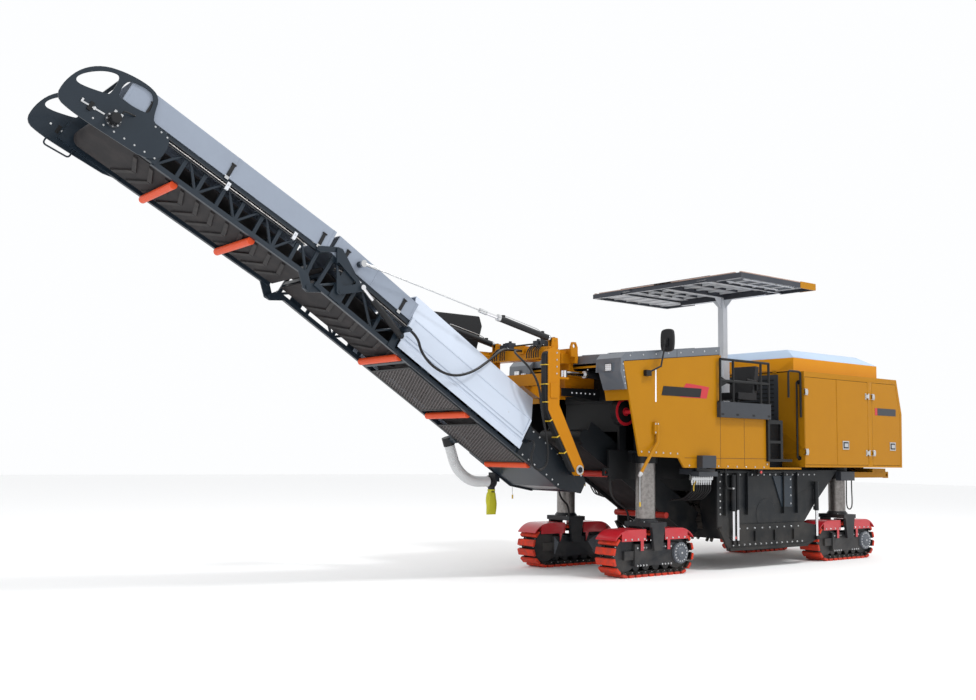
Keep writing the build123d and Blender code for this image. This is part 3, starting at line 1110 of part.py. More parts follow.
def struts():
    """Suspension cylinders and their cables from the bracket to the conveyor."""
    span_x, span_z = CABLE_PIN_X - STRUT_X, CABLE_PIN_Z - STRUT_Z
    length = math.hypot(span_x, span_z)
    ux, uz = span_x / length, span_z / length

    def along(d, y=STRUT_Y):
        return (STRUT_X + ux * d, y, STRUT_Z + uz * d)

    barrel = tube(along(110), along(1000), 42, 24 + PIN_FIT)
    cap = rod(along(80), along(120), 42)
    tang = rod(along(20), along(90), 20)
    eye = rod((STRUT_X, STRUT_Y - 21, STRUT_Z), (STRUT_X, STRUT_Y + 21, STRUT_Z), 40)
    body = fused(barrel, cap, eye, tang) - rod((STRUT_X, STRUT_Y - 60, STRUT_Z),
                                               (STRUT_X, STRUT_Y + 60, STRUT_Z), 16 + PIN_FIT)
    keep("strut_barrels", both(body))
    piston = rod(along(290), along(1250), 24)
    clamp = rod(along(1190), along(1310), 30)
    cable = rod(along(1290), along(length - 60), 9)
    fork = rod((CABLE_PIN_X, STRUT_Y - 22 + FIT, CABLE_PIN_Z), (CABLE_PIN_X, STRUT_Y + 14, CABLE_PIN_Z), 42)
    socket = rod(along(length - 190), along(length - 20), 20)
    keep("strut_rods", both(fused(piston, clamp, cable, fork, socket)))


# ---------------------------------------------------------------- hoses, duct and reel
def start_on_conveyor():
    """First two points of the feed hose, square to its gland on the lower conveyor."""
    gland_s = to_lower(*FOLD_CYLINDER_PIN)[0] - GLAND_REACH - FIT
    first = LOWER * Pos(gland_s, 660, 281)
    second = LOWER * Pos(gland_s - 130, 660, 281)
    return [tuple(first.position), tuple(second.position)]


def hoses():
    """Free hoses, each meeting its glands face to face, and the dust duct with its bag."""
    feed = start_on_conveyor() + FEED_ROUTE
    keep("feed_hose", hose("feed_hose", feed, FEED_RADIUS))
    keep("bracket_hose", hose("bracket_hose", BRACKET_ROUTE, HOSE_RADIUS))
    track = hose("left_track_hose", TRACK_ROUTE, HOSE_RADIUS)
    keep("left_track_hose", track)
    keep("right_track_hose", mirror(track, about=Plane.XZ))
    keep("rear_hose", hose("rear_hose", REAR_ROUTE, THIN_HOSE_RADIUS))
    keep("dust_duct", hose("dust_duct", DUCT_ROUTE, DUCT_RADIUS))
    bag = [(NECK_X - 50, BAG_TOP_Z - FIT), (NECK_X + 50, BAG_TOP_Z - FIT), (NECK_X + 90, BAG_LOW_Z),
           (NECK_X - 85, BAG_LOW_Z)]
    keep("dust_bag", side_plate(bag, DUCT_Y - 50, DUCT_Y + 50, 12))
    reel = rod((REEL_X, 770, REEL_Z), (REEL_X, 880, REEL_Z), REEL_RADIUS)
    axle = rod((REEL_X, 870, REEL_Z), (REEL_X, BODY_HALF - BODY_PANEL - FIT, REEL_Z), 30)
    keep("hose_reel", fused(reel, axle))


# ---------------------------------------------------------------- fittings
def fittings():
    """Mirrors, side stays, control boxes and valve blocks."""
    half = BODY_HALF
    mirrors = []
    for side in (1, -1):
        y = side * (half + 120)
        base = block(2640, 2740, side * (half + FIT), side * (half + 60), 2760, 2840)
        arm = rod((2690, side * (half + 30), 2800), (2520, y, 2900), 12)
        arm2 = rod((2520, y, 2890), (2440, y, 3180), 12)
        head = block(2360, 2400, y - 120, y + 120, 3110, 3430)
        link = rod((2440, y, 3180), (2390, y, 3260), 12)
        mirrors.append(fused(base, arm, arm2, head, link))
    keep("mirrors", mirrors)
    boxes = []
    for side in (1, -1):
        boxes.append(block(1340, 1640, side * (half + FIT), side * (half + 110), 1500, 1680))
        boxes.append(fused(block(1250, 1660, side * (half - 100), side * (half + 60), 1380, 1450),
                           block(1400, 1600, side * (half - 60), side * (half - 30), 1440, 1502)))
        boxes.append(block(-2440, -2045, side * (AXLE_Y + SLEEVE_RADIUS + FIT), side * 1100, BOX_BOTTOM_Z,
                           1450))
    keep("control_boxes", boxes)


def build():
    """Build every node."""
    crawler_units()
    main_frame()
    milling_housing()
    milling_drum()
    side_plates()
    scraper()
    primary_conveyor()
    front_body()
    front_cap()
    platform_parts()
    ladders()
    canopy()
    module_shell()
    module_doors()
    engine_hood()
    engine()
    slew_mount()
    slew_bracket()
    slew_cylinders()
    lower_conveyor()
    upper_conveyor()
    fold_linkage()
    struts()
    suction_hood()
    hoses()
    fittings()


build()
everything = [solid for solids in nodes.values() for solid in solids]
box_low = min(solid.bounding_box().min.X for solid in everything)
box_high = max(solid.bounding_box().max.X for solid in everything)
CENTRE_X = (box_low + box_high) / 2
print("extent", round(box_low, 1), round(box_high, 1), "centre", round(CENTRE_X, 2))
for name, solids in nodes.items():
    placed = [Pos(-CENTRE_X, 0, 0) * solid for solid in solids]
    shape = placed[0] if len(placed) == 1 else Compound(children=placed)
    export_step(shape, "parts/" + name + ".step")
print(len(nodes), "nodes")
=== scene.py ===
"""Finish of a cold planer with four crawler units, a folding discharge conveyor and a canopy."""

import json
import logging
from dataclasses import dataclass
from enum import Enum
from math import atan2, copysign, cos, exp, hypot, inf, pi, radians, sin, tan, tau
from typing import Callable, Sequence

import bmesh
import bpy
from mathutils import Matrix, Vector
from mathutils.geometry import tessellate_polygon

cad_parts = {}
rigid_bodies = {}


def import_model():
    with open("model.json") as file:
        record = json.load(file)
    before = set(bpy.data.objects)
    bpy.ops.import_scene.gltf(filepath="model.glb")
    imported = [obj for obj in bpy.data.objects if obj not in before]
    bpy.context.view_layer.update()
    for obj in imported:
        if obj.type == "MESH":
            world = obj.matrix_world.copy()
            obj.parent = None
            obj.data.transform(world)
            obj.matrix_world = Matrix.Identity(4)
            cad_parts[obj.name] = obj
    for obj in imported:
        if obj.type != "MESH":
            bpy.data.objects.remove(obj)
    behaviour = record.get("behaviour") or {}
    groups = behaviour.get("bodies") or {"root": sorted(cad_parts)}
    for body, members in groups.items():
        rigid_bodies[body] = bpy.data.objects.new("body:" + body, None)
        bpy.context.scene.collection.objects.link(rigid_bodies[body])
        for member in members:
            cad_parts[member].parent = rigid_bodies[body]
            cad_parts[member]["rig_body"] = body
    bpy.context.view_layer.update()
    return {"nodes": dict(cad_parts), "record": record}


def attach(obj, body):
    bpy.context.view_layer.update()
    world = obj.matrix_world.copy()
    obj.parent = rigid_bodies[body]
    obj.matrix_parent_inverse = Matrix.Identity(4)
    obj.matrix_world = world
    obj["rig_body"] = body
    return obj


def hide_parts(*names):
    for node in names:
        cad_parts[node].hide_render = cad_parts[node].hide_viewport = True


log = logging.getLogger("planer")
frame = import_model()

# The machine frame has X = 0 halfway between the legs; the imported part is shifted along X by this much.
CENTRE_X = 3.41648
LOWER_SLOPE = 31.76
UPPER_SLOPE = 27.62
LOWER = Matrix.Translation((3.65, 0.0, 1.18)) @ Matrix.Rotation(radians(-LOWER_SLOPE), 4, "Y")
UPPER = (LOWER @ Matrix.Translation((4.62, 0.0, -0.07)) @ Matrix.Rotation(radians(LOWER_SLOPE - UPPER_SLOPE), 4, "Y")
         @ Matrix.Translation((0.0, 0.0, 0.097)))
LOWER_BACK = LOWER.inverted()
UPPER_BACK = UPPER.inverted()
UNTURNED = Matrix.Identity(4)
TO_ROW = Matrix.Translation((-CENTRE_X, 0.0, 0.0))
AXLE_X = 2.325
AXLE_Y = 0.825
# Pin of the suspension struts on the slewing bracket, along and up.
STRUT_PIN = (3.9, 3.21)

Mesh = bpy.types.Mesh
Material = bpy.types.Material
Node = bpy.types.Node
Socket = bpy.types.NodeSocket
Thing = bpy.types.Object
Tree = bpy.types.NodeTree
Point = Sequence[float]
Rule = Callable[[Vector, Vector], str]


class Side(Enum):
    """Left or right half of the machine."""

    LEFT = 1
    RIGHT = -1

    @property
    def label(self) -> str:
        """Word used in node names."""
        return "left" if self is Side.LEFT else "right"


# --- node groups
class Wiring:
    """Adds nodes to one tree, with their inputs set or linked as they come."""

    def __init__(self, tree: Tree) -> None:
        """Work on that tree."""
        self.tree = tree

    def feed(self, node: Node, inputs: dict[str | int, object]) -> None:
        """Link each input that is given a socket, and set the others."""
        for name, value in inputs.items():
            if isinstance(value, Socket):
                self.tree.links.new(value, node.inputs[name])
            else:
                node.inputs[name].default_value = value

    def node(self, kind: str, inputs: dict[str | int, object] | None = None, **settings: object) -> Node:
        """Add a node.

        Args:
            kind: type of the node.
            inputs: a value or a socket for each input, by its name or number.
            settings: the node's own settings.

        Returns:
            The node.
        """
        node = self.tree.nodes.new(kind)
        for name, value in settings.items():
            setattr(node, name, value)
        self.feed(node, inputs or {})
        return node

    def times(self, first: object, second: object) -> Socket:
        """Product of two values or sockets."""
        return self.node("ShaderNodeMath", {0: first, 1: second}, operation="MULTIPLY").outputs[0]


def grouped(name: str, kind: str, inputs: Sequence[tuple], outputs: Sequence[tuple]) -> tuple:
    """Empty node group with named inputs and outputs.

    Args:
        name: name of the group.
        kind: type of its tree.
        inputs: name, socket type and default of each input.
        outputs: name, socket type and default of each output.

    Returns:
        Its wiring, its input node and its output node.
    """
    tree = bpy.data.node_groups.new(name, kind)
    for way, rows in (("INPUT", inputs), ("OUTPUT", outputs)):
        for label, socket_kind, value in rows:
            socket = tree.interface.new_socket(label, in_out=way, socket_type="NodeSocket" + socket_kind)
            if value is not None:
                socket.default_value = value
    wiring = Wiring(tree)
    return wiring, wiring.node("NodeGroupInput"), wiring.node("NodeGroupOutput")


class ShaderGroups:
    """Node groups that the finishes share, each built once."""

    def __init__(self) -> None:
        """Build the grain and the weathering."""
        self.grain = self.build_grain()
        self.weather = self.build_weather()

    @staticmethod
    def build_grain() -> Tree:
        """Height of a fine grain and a coarse variation, on object coordinates."""
        wiring, start, end = grouped(
            "surface_grain", "ShaderNodeTree", (("Fine Scale", "Float", 180.0), ("Coarse Scale", "Float", 2.0)),
            (("Height", "Float", None), ("Variation", "Float", None)))
        place = wiring.node("ShaderNodeTexCoord").outputs["Object"]
        fine = wiring.node(
            "ShaderNodeTexNoise", {"Vector": place, "Scale": start.outputs["Fine Scale"], "Detail": 3.0})
        coarse = wiring.node(
            "ShaderNodeTexNoise", {"Vector": place, "Scale": start.outputs["Coarse Scale"], "Detail": 6.0,
            "Roughness": 0.6})
        wiring.feed(end, {"Height": fine.outputs["Fac"], "Variation": coarse.outputs["Fac"]})
        return wiring.tree

    @staticmethod
    def build_weather() -> Tree:
        """Colour and roughness of a surface with blotches, and dust that settles low on the machine."""
        inputs = (("Color", "Color", (0.5, 0.5, 0.5, 1.0)), ("Second Color", "Color", (0.4, 0.4, 0.4, 1.0)),
                  ("Dust Color", "Color", (0.35, 0.31, 0.26, 1.0)), ("Variation", "Float", 0.5),
                  ("Mottle", "Float", 0.3), ("Dust", "Float", 0.2), ("Roughness", "Float", 0.4))
        wiring, start, end = grouped(
            "weathering", "ShaderNodeTree", inputs, (("Color", "Color", None), ("Roughness", "Float", None)))
        given = start.outputs
        place = wiring.node("ShaderNodeTexCoord").outputs["Object"]
        height = wiring.node("ShaderNodeSeparateXYZ", {"Vector": place}).outputs["Z"]
        low = wiring.node("ShaderNodeMapRange", {"From Min": 1.5, "From Max": 0.0, "Value": height}).outputs["Result"]
        streak = wiring.node(
            "ShaderNodeMapRange", {"From Min": 0.4, "From Max": 0.7, "Value": given["Variation"]}).outputs["Result"]
        dust = wiring.times(wiring.times(low, streak), given["Dust"])
        paint = wiring.node(
            "ShaderNodeMix", {"Factor": wiring.times(streak, given["Mottle"]), "A": given["Color"],
            "B": given["Second Color"]}, data_type="RGBA")
        cover = wiring.node("ShaderNodeMix", {"Factor": dust, "A": paint.outputs["Result"], "B": given["Dust Color"]},
                            data_type="RGBA")
        dull = wiring.node(
            "ShaderNodeMath", {0: dust, 1: 0.35, 2: given["Roughness"]}, operation="MULTIPLY_ADD", use_clamp=True)
        wiring.feed(end, {"Color": cover.outputs["Result"], "Roughness": dull.outputs[0]})
        return wiring.tree


@dataclass(frozen=True)
class Finish:
    """One finish of the machine: paint, bare metal, rubber, plastic or sheet."""

    name: str
    colour: tuple[float, float, float]
    second: tuple[float, float, float]
    roughness: float = 0.4
    metallic: float = 0.0
    coat: float = 0.0
    mottle: float = 0.3
    dust: float = 0.2
    fine: float = 160.0
    coarse: float = 2.5
    bump: float = 0.05
    depth: float = 0.0006
    glow: float = 0.0
    specular: float = 0.5
    slot: str = "graphite_paint"

    def make(self, groups: ShaderGroups) -> Material:
        """Build the material.

        Args:
            groups: the shared shader groups.

        Returns:
            The node material of this finish.
        """
        material = bpy.data.materials.new(self.name)
        material.use_nodes = True
        wiring = Wiring(material.node_tree)
        shader = material.node_tree.nodes["Principled BSDF"]
        grain = wiring.node("ShaderNodeGroup", node_tree=groups.grain)
        wiring.feed(grain, {"Fine Scale": self.fine, "Coarse Scale": self.coarse})
        weather = wiring.node("ShaderNodeGroup", node_tree=groups.weather)
        wiring.feed(
            weather, {"Color": (*self.colour, 1.0), "Second Color": (*self.second, 1.0), "Mottle": self.mottle,
            "Dust": self.dust, "Roughness": self.roughness, "Variation": grain.outputs["Variation"]})
        bump = wiring.node(
            "ShaderNodeBump", {"Strength": self.bump, "Distance": self.depth, "Height": grain.outputs["Height"]})
        wiring.feed(
            shader, {"Metallic": self.metallic, "Coat Weight": self.coat, "Coat Roughness": 0.12,
            "Specular IOR Level": self.specular, "Base Color": weather.outputs["Color"],
            "Roughness": weather.outputs["Roughness"], "Normal": bump.outputs["Normal"]})
        if self.glow:
            wiring.feed(shader, {"Emission Color": (*self.colour, 1.0), "Emission Strength": self.glow})
        return material


SATIN = {"roughness": 0.34, "coat": 0.04, "dust": 0.02, "specular": 0.1}
FINISHES: tuple[Finish, ...] = (
    Finish("body_yellow", (0.385, 0.168, 0.005), (0.35, 0.146, 0.005), **SATIN, slot="yellow_paint"),
    Finish("door_yellow", (0.385, 0.166, 0.005), (0.35, 0.144, 0.005), **SATIN, slot="orange_paint"),
    Finish("hood_orange", (0.58, 0.235, 0.008), (0.52, 0.2, 0.008), **SATIN, slot="orange_paint"),
    Finish("bracket_yellow", (0.47, 0.182, 0.005), (0.41, 0.15, 0.005), **SATIN, slot="bracket_orange"),
    Finish("hood_top_pale", (0.38, 0.49, 0.64), (0.33, 0.43, 0.57), 0.4, dust=0.02, slot="pale_grey_paint"),
    Finish("cap_grey", (0.105, 0.12, 0.142), (0.085, 0.098, 0.118), 0.35, coat=0.3, slot="grey_paint"),
    Finish("frame_black", (0.0075, 0.0085, 0.01), (0.014, 0.014, 0.015), 0.42, dust=0.12, specular=0.22),
    Finish("housing_black", (0.009, 0.011, 0.0135), (0.017, 0.018, 0.019), 0.42, dust=0.15, specular=0.22),
    Finish("yoke_graphite", (0.013, 0.015, 0.019), (0.022, 0.023, 0.026), 0.42, dust=0.15, specular=0.25),
    Finish("truss_slate", (0.013, 0.021, 0.031), (0.02, 0.029, 0.04), 0.36, coat=0.15, dust=0.05,
           specular=0.25, slot="slate_paint"),
    Finish("foot_slate", (0.008, 0.012, 0.017), (0.014, 0.018, 0.023), 0.4, dust=0.08, specular=0.22,
           slot="slate_paint"),
    Finish("fender_crimson", (0.46, 0.012, 0.022), (0.36, 0.01, 0.018), 0.33, coat=0.4, dust=0.05,
           specular=0.35, slot="crimson_paint"),
    Finish("shoe_red", (0.6, 0.04, 0.014), (0.3, 0.022, 0.014), 0.6, mottle=0.9, coarse=14.0, dust=0.1,
           bump=0.3, specular=0.2, slot="shoe_red"),
    Finish("roller_red", (0.66, 0.07, 0.014), (0.5, 0.05, 0.014), 0.45, dust=0.05, specular=0.3, slot="shoe_red"),
    Finish("tube_red", (0.5, 0.03, 0.018), (0.36, 0.025, 0.018), 0.42, dust=0.05, specular=0.3,
           slot="crimson_paint"),
    Finish("chain_black", (0.009, 0.009, 0.0095), (0.025, 0.023, 0.022), 0.5, metallic=0.3, mottle=0.6,
           dust=0.15, bump=0.3, specular=0.25),
    Finish("leg_steel", (0.27, 0.255, 0.245), (0.14, 0.13, 0.125), 0.38, metallic=0.8, mottle=0.8, fine=60.0,
           coarse=24.0, bump=0.15, slot="plain_steel"),
    Finish("hub_speckled", (0.105, 0.12, 0.145), (0.05, 0.056, 0.066), 0.5, metallic=0.2, mottle=0.9,
           coarse=60.0, dust=0.1, slot="grey_paint"),
    Finish("bright_steel", (0.58, 0.59, 0.6), (0.44, 0.44, 0.45), 0.28, metallic=1.0, dust=0.03, slot="plain_steel"),
    Finish("chrome", (0.78, 0.78, 0.8), (0.72, 0.72, 0.74), 0.1, metallic=1.0, mottle=0.1, dust=0.0,
           slot="polished_steel"),
    Finish("drum_steel", (0.06, 0.052, 0.047), (0.12, 0.1, 0.085), 0.62, metallic=0.5, mottle=0.8, dust=0.4,
           bump=0.4, specular=0.3, slot="drum_steel"),
    Finish("carbide_tip", (0.36, 0.34, 0.32), (0.24, 0.22, 0.2), 0.35, metallic=0.9, slot="drum_steel"),
    Finish("belt_brown", (0.016, 0.0145, 0.016), (0.032, 0.027, 0.027), 0.7, mottle=0.8, coarse=5.0,
           dust=0.05, bump=0.4, specular=0.25, slot="belt_rubber"),
    Finish("belt_cleat", (0.012, 0.011, 0.012), (0.03, 0.025, 0.024), 0.62, mottle=0.8, coarse=9.0, dust=0.1,
           bump=0.3, specular=0.3, slot="belt_rubber"),
    Finish("hose_black", (0.007, 0.0072, 0.008), (0.013, 0.013, 0.014), 0.4, dust=0.04, bump=0.2,
           specular=0.3, slot="hose_rubber"),
    Finish("mesh_black", (0.008, 0.0085, 0.0095), (0.016, 0.016, 0.016), 0.45, dust=0.04, specular=0.25,
           slot="black_mesh"),
    Finish("mesh_worn", (0.12, 0.108, 0.108), (0.075, 0.066, 0.064), 0.5, dust=0.2, specular=0.3, slot="black_mesh"),
    Finish("plastic_black", (0.01, 0.0105, 0.012), (0.017, 0.017, 0.018), 0.45, fine=420.0, bump=0.25,
           specular=0.28, dust=0.05, slot="black_plastic"),
    Finish("seat_vinyl", (0.014, 0.014, 0.016), (0.024, 0.024, 0.026), 0.5, fine=300.0, bump=0.4,
           specular=0.3, slot="black_plastic"),
    Finish("cover_white", (0.5, 0.56, 0.66), (0.46, 0.51, 0.6), 0.36, coat=0.15, dust=0.02, slot="cover_white"),
    Finish("cover_sheet", (0.26, 0.3, 0.37), (0.22, 0.25, 0.31), 0.4, metallic=0.2, dust=0.02, slot="cover_sheet"),
    Finish("canopy_grey", (0.075, 0.082, 0.095), (0.11, 0.11, 0.12), 0.5, mottle=0.6, slot="pale_grey_paint"),
    Finish("canopy_slate", (0.035, 0.04, 0.052), (0.06, 0.06, 0.068), 0.45, mottle=0.6, specular=0.3,
           slot="pale_grey_paint"),
    Finish("canopy_light", (0.6, 0.61, 0.63), (0.52, 0.53, 0.55), 0.5, slot="pale_grey_paint"),
    Finish("canopy_rim", (0.42, 0.29, 0.24), (0.3, 0.2, 0.16), 0.55, mottle=0.8, coarse=9.0,
           slot="pale_grey_paint"),
    Finish("mast_pale", (0.62, 0.64, 0.68), (0.54, 0.56, 0.6), 0.35, coat=0.2, slot="grey_paint"),
    Finish("box_dark", (0.03, 0.034, 0.042), (0.045, 0.049, 0.056), 0.42, coat=0.1, specular=0.3, slot="grey_paint"),
    # Lamps and screens glow in this finish; the white mount bolts that share it glow as well, a painted glow on parts
    # that are no lamps.
    Finish("lamp_white", (0.8, 0.82, 0.86), (0.7, 0.73, 0.78), 0.15, coat=0.8, glow=0.15, slot="pale_grey_paint"),
    Finish("lamp_red", (0.5, 0.01, 0.01), (0.35, 0.01, 0.01), 0.2, coat=0.8, slot="crimson_paint"),
    Finish("tie_yellow", (0.62, 0.4, 0.02), (0.52, 0.32, 0.02), 0.5, slot="yellow_paint"),
    Finish("duct_white", (0.6, 0.61, 0.62), (0.44, 0.45, 0.46), 0.5, slot="cover_white"),
    Finish("bag_lime", (0.5, 0.48, 0.01), (0.4, 0.38, 0.01), 0.55, bump=0.4, dust=0.02, slot="yellow_paint"),
    Finish("mirror_glass", (0.55, 0.58, 0.6), (0.52, 0.55, 0.58), 0.03, metallic=1.0, mottle=0.05, dust=0.0,
           bump=0.0, slot="mirror_black"),
    Finish("plate_edge", (0.008, 0.009, 0.01), (0.018, 0.017, 0.017), 0.42, mottle=0.6, dust=0.08, specular=0.2),
)


class Shop:
    """Materials by name, and the shared place where a mesh becomes a piece."""

    def __init__(self) -> None:
        """Build every finish once."""
        groups = ShaderGroups()
        slots = {row["slot"] for row in frame["record"]["materials"]}
        self.material = {one.name: one.make(groups) for one in FINISHES}
        self.slot = {self.material[one.name].name: one.slot for one in FINISHES if one.slot in slots}
        self.triangles = 0

    def piece(self, name: str, mesh: Mesh, body: str, replaces: Sequence[str] = ()) -> Thing:
        """Link a finished mesh as a piece that rides on a body.

        Args:
            name: name of the piece.
            mesh: its mesh, in the row frame.
            body: body that it rides on.
            replaces: nodes that it stands for.

        Returns:
            The object.
        """
        mesh.name = name
        thing = bpy.data.objects.new(name, mesh)
        bpy.context.scene.collection.objects.link(thing)
        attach(thing, body)
        if replaces:
            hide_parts(*replaces)
        mesh.calc_loop_triangles()
        count = len(mesh.loop_triangles)
        self.triangles += count
        log.info("%s on %s, %d triangles", name, body, count)
        return thing


shop: Shop


# --- meshes
# Edges sharper than this angle, in degrees, are rounded.
SHARP = 38.0
# Points nearer than this are one.
SAME_POINT = 0.00002


def smoothed(mesh: Mesh, angle: float = 32.0) -> Mesh:
    """Shade smooth up to an angle.

    Args:
        mesh: mesh to shade.
        angle: largest smooth angle in degrees.

    Returns:
        The same mesh.
    """
    mesh.shade_smooth()
    mesh.set_sharp_from_angle(angle=radians(angle))
    return mesh


def bevelled(mesh: Mesh, width: float, smooth: float = 32.0) -> Mesh:
    """Round the edges of a mesh.

    Args:
        mesh: mesh with clean faces.
        width: width of the rounding in metres.
        smooth: largest angle that is shaded smooth.

    Returns:
        A new mesh with the rounding applied.
    """
    holder = bpy.data.objects.new("holder", mesh)
    bpy.context.scene.collection.objects.link(holder)
    rounding = holder.modifiers.new("edges", "BEVEL")
    rounding.width = width
    rounding.segments = 2
    rounding.limit_method = "ANGLE"
    rounding.angle_limit = radians(SHARP)
    rounding.use_clamp_overlap = True
    rounding.miter_outer = "MITER_ARC"
    rounding.harden_normals = True
    smoothed(mesh, smooth)
    result = evaluated(holder)
    bpy.data.objects.remove(holder)
    return result


def evaluated(holder: Thing) -> Mesh:
    """Plain mesh of an object with its modifiers applied."""
    bpy.context.view_layer.update()
    depsgraph = bpy.context.evaluated_depsgraph_get()
    return bpy.data.meshes.new_from_object(holder.evaluated_get(depsgraph), depsgraph=depsgraph)


def eased(outline: Sequence[Point], rounds: int = 3) -> list[Point]:
    """Outline with its corners cut again and again, until it is round."""
    points = [tuple(point) for point in outline]
    for _ in range(rounds):
        points = [
            tuple(a * (1 - share) + b * share for a, b in zip(here, after)) for here, after in zip(points,
            points[1:] + points[:1]) for share in (0.25, 0.75)]
    return points


def octagon(y: float, z: float, wide: Point, high: Point) -> list[Point]:
    """Upright rounded octagon about a point, with the half widths and half heights of its corners."""
    quarter = list(zip(wide, high))
    half = [(y - a, z - b) for a, b in quarter] + [(y + a, z - b) for a, b in quarter[::-1]]
    return eased(half + [(across, 2 * z - up) for across, up in half[::-1]], 2)


def rounded(points: Sequence[Point], bend: float, steps: int) -> list[Vector]:
    """Line through points with rounded corners.

    Args:
        points: ends and corners of the line.
        bend: largest length of a bend along its runs.
        steps: pieces of each bend.

    Returns:
        Points along the line.
    """
    corners = [Vector(point) for point in points]
    line = [corners[0]]
    for before, here, after in zip(corners, corners[1:], corners[2:]):
        back, on = before - here, after - here
        reach = min(bend, back.length * 0.45, on.length * 0.45)
        first, last = here + back.normalized() * reach, here + on.normalized() * reach
        line += [first.lerp(here, k / steps).lerp(here.lerp(last, k / steps), k / steps) for k in range(steps + 1)]
    return line + [corners[-1]]


def circle(across: Vector, up: Vector, radius: float, count: int) -> list[Vector]:
    """Points of a circle in the plane of two directions, about the origin."""
    return [(across * cos(tau * k / count) + up * sin(tau * k / count)) * radius for k in range(count)]


class Maker:
    """Collects the faces of one piece, in metres of the machine frame."""

    def __init__(self, name: str, place: Matrix = UNTURNED) -> None:
        """Start an empty piece of that name, whose shapes are given in the frame of a place."""
        self.name = name
        self.bm = bmesh.new()
        self.finishes: list[str] = []
        self.place = place

    def number(self, finish: str) -> int:
        """Index of a finish among the piece's own."""
        if finish not in self.finishes:
            self.finishes.append(finish)
        return self.finishes.index(finish)

    def solid(self, finish: str, rings: Sequence[Sequence[Point]], closed: bool = True) -> None:
        """Skin of rings of points, closed at its two ends.

        Args:
            finish: name of the finish.
            rings: rings with equally many points.
            closed: whether the ends get faces; otherwise the last ring joins the first.
        """
        index = self.number(finish)
        rows = [[self.bm.verts.new(self.place @ Vector(point)) for point in ring] for ring in rings]
        size = len(rows[0])
        faces = []
        following = rows[1:] if closed else rows[1:] + rows[:1]
        for low, high in zip(rows, following):
            for k in range(size):
                faces.append(self.bm.faces.new((low[k], low[(k + 1) % size], high[(k + 1) % size], high[k])))
        if closed:
            faces.append(self.bm.faces.new(list(reversed(rows[0]))))
            faces.append(self.bm.faces.new(rows[-1]))
        for face in faces:
            face.material_index = index
        bmesh.ops.recalc_face_normals(self.bm, faces=faces)

    def box(self, finish: str, x: Point, y: Point, z: Point) -> None:
        """Block between pairs of coordinates, in any order."""
        (x0, x1), (y0, y1), (z0, z1) = sorted(x), sorted(y), sorted(z)
        self.solid(finish, [[(x0, y0, h), (x1, y0, h), (x1, y1, h), (x0, y1, h)] for h in (z0, z1)])

    def plate(self, finish: str, outline: Sequence[Point], y0: float, y1: float) -> None:
        """Plate of an X-Z outline between two Y values."""
        self.solid(finish, [[(x, y0, z) for x, z in outline], [(x, y1, z) for x, z in outline]])

    def pierced(self, finish: str, outline: Sequence[Point], windows: Sequence[Sequence[Point]], y0: float,
                y1: float) -> None:
        """Add a plate with windows, between two places across the machine."""
        index, low, high = self.number(finish), min(y0, y1), max(y0, y1)
        loops = [list(outline)] + [list(window) for window in windows]
        flat = [point for loop in loops for point in loop]
        rows = [[self.bm.verts.new(self.place @ Vector((x, y, z))) for x, z in flat] for y in (low, high)]
        made = []
        for triangle in tessellate_polygon([[Vector((x, z, 0.0)) for x, z in loop] for loop in loops]):
            for row in rows:
                made.append(self.bm.faces.new([row[i] for i in triangle]))
        start = 0
        for loop in loops:
            for k in range(len(loop)):
                a, b = start + k, start + (k + 1) % len(loop)
                made.append(self.bm.faces.new((rows[0][a], rows[0][b], rows[1][b], rows[1][a])))
            start += len(loop)
        for face in made:
            face.material_index = index
        bmesh.ops.recalc_face_normals(self.bm, faces=made)

    def cross(self, finish: str, outline: Sequence[Point], x0: float, x1: float) -> None:
        """Plate of a Y-Z outline between two X values."""
        self.solid(finish, [[(x0, y, z) for y, z in outline], [(x1, y, z) for y, z in outline]])

    def rod(self, finish: str, start: Point, end: Point, radius: float, far: float | None = None,
            sides: int = 20) -> None:
        """Round bar or cone between two points.

        Args:
            finish: name of the finish.
            start: first end.
            end: last end.
            radius: radius at the start.
            far: radius at the end, the same where it is None.
            sides: number of sides.
        """
        a, b = Vector(start), Vector(end)
        far = radius if far is None else far
        turn = (b - a).to_track_quat("Z", "Y").to_matrix()
        ring = [turn @ Vector((cos(tau * k / sides), sin(tau * k / sides), 0)) for k in range(sides)]
        self.solid(finish, [[a + r * radius for r in ring], [b + r * far for r in ring]])

    def pipe(self, finish: str, points: Sequence[Point], radius: float, sides: int = 12, bend: float = 0.05) -> None:
        """Bent tube along a line of points, with rounded bends.

        Args:
            finish: name of the finish.
            points: corners of the tube.
            radius: its radius.
            sides: number of sides.
            bend: length of each bend along its runs.
        """
        line = rounded(points, bend, 4)
        rings = []
        side = None
        for k, point in enumerate(line):
            ahead = (line[min(k + 1, len(line) - 1)] - line[max(k - 1, 0)]).normalized()
            if side is None:
                side = ahead.orthogonal().normalized()
            side = (side - ahead * side.dot(ahead)).normalized()
            rings.append([point + offset for offset in circle(side, ahead.cross(side), radius, sides)])
        self.solid(finish, rings)

    def both(self) -> None:
        """Add the mirror image across the centre plane."""
        copy = bmesh.ops.duplicate(self.bm, geom=self.bm.verts[:] + self.bm.edges[:] + self.bm.faces[:])
        fresh = [g for g in copy["geom"] if isinstance(g, bmesh.types.BMVert)]
        for vert in fresh:
            vert.co.y = -vert.co.y
        bmesh.ops.reverse_faces(self.bm, faces=[g for g in copy["geom"] if isinstance(g, bmesh.types.BMFace)])

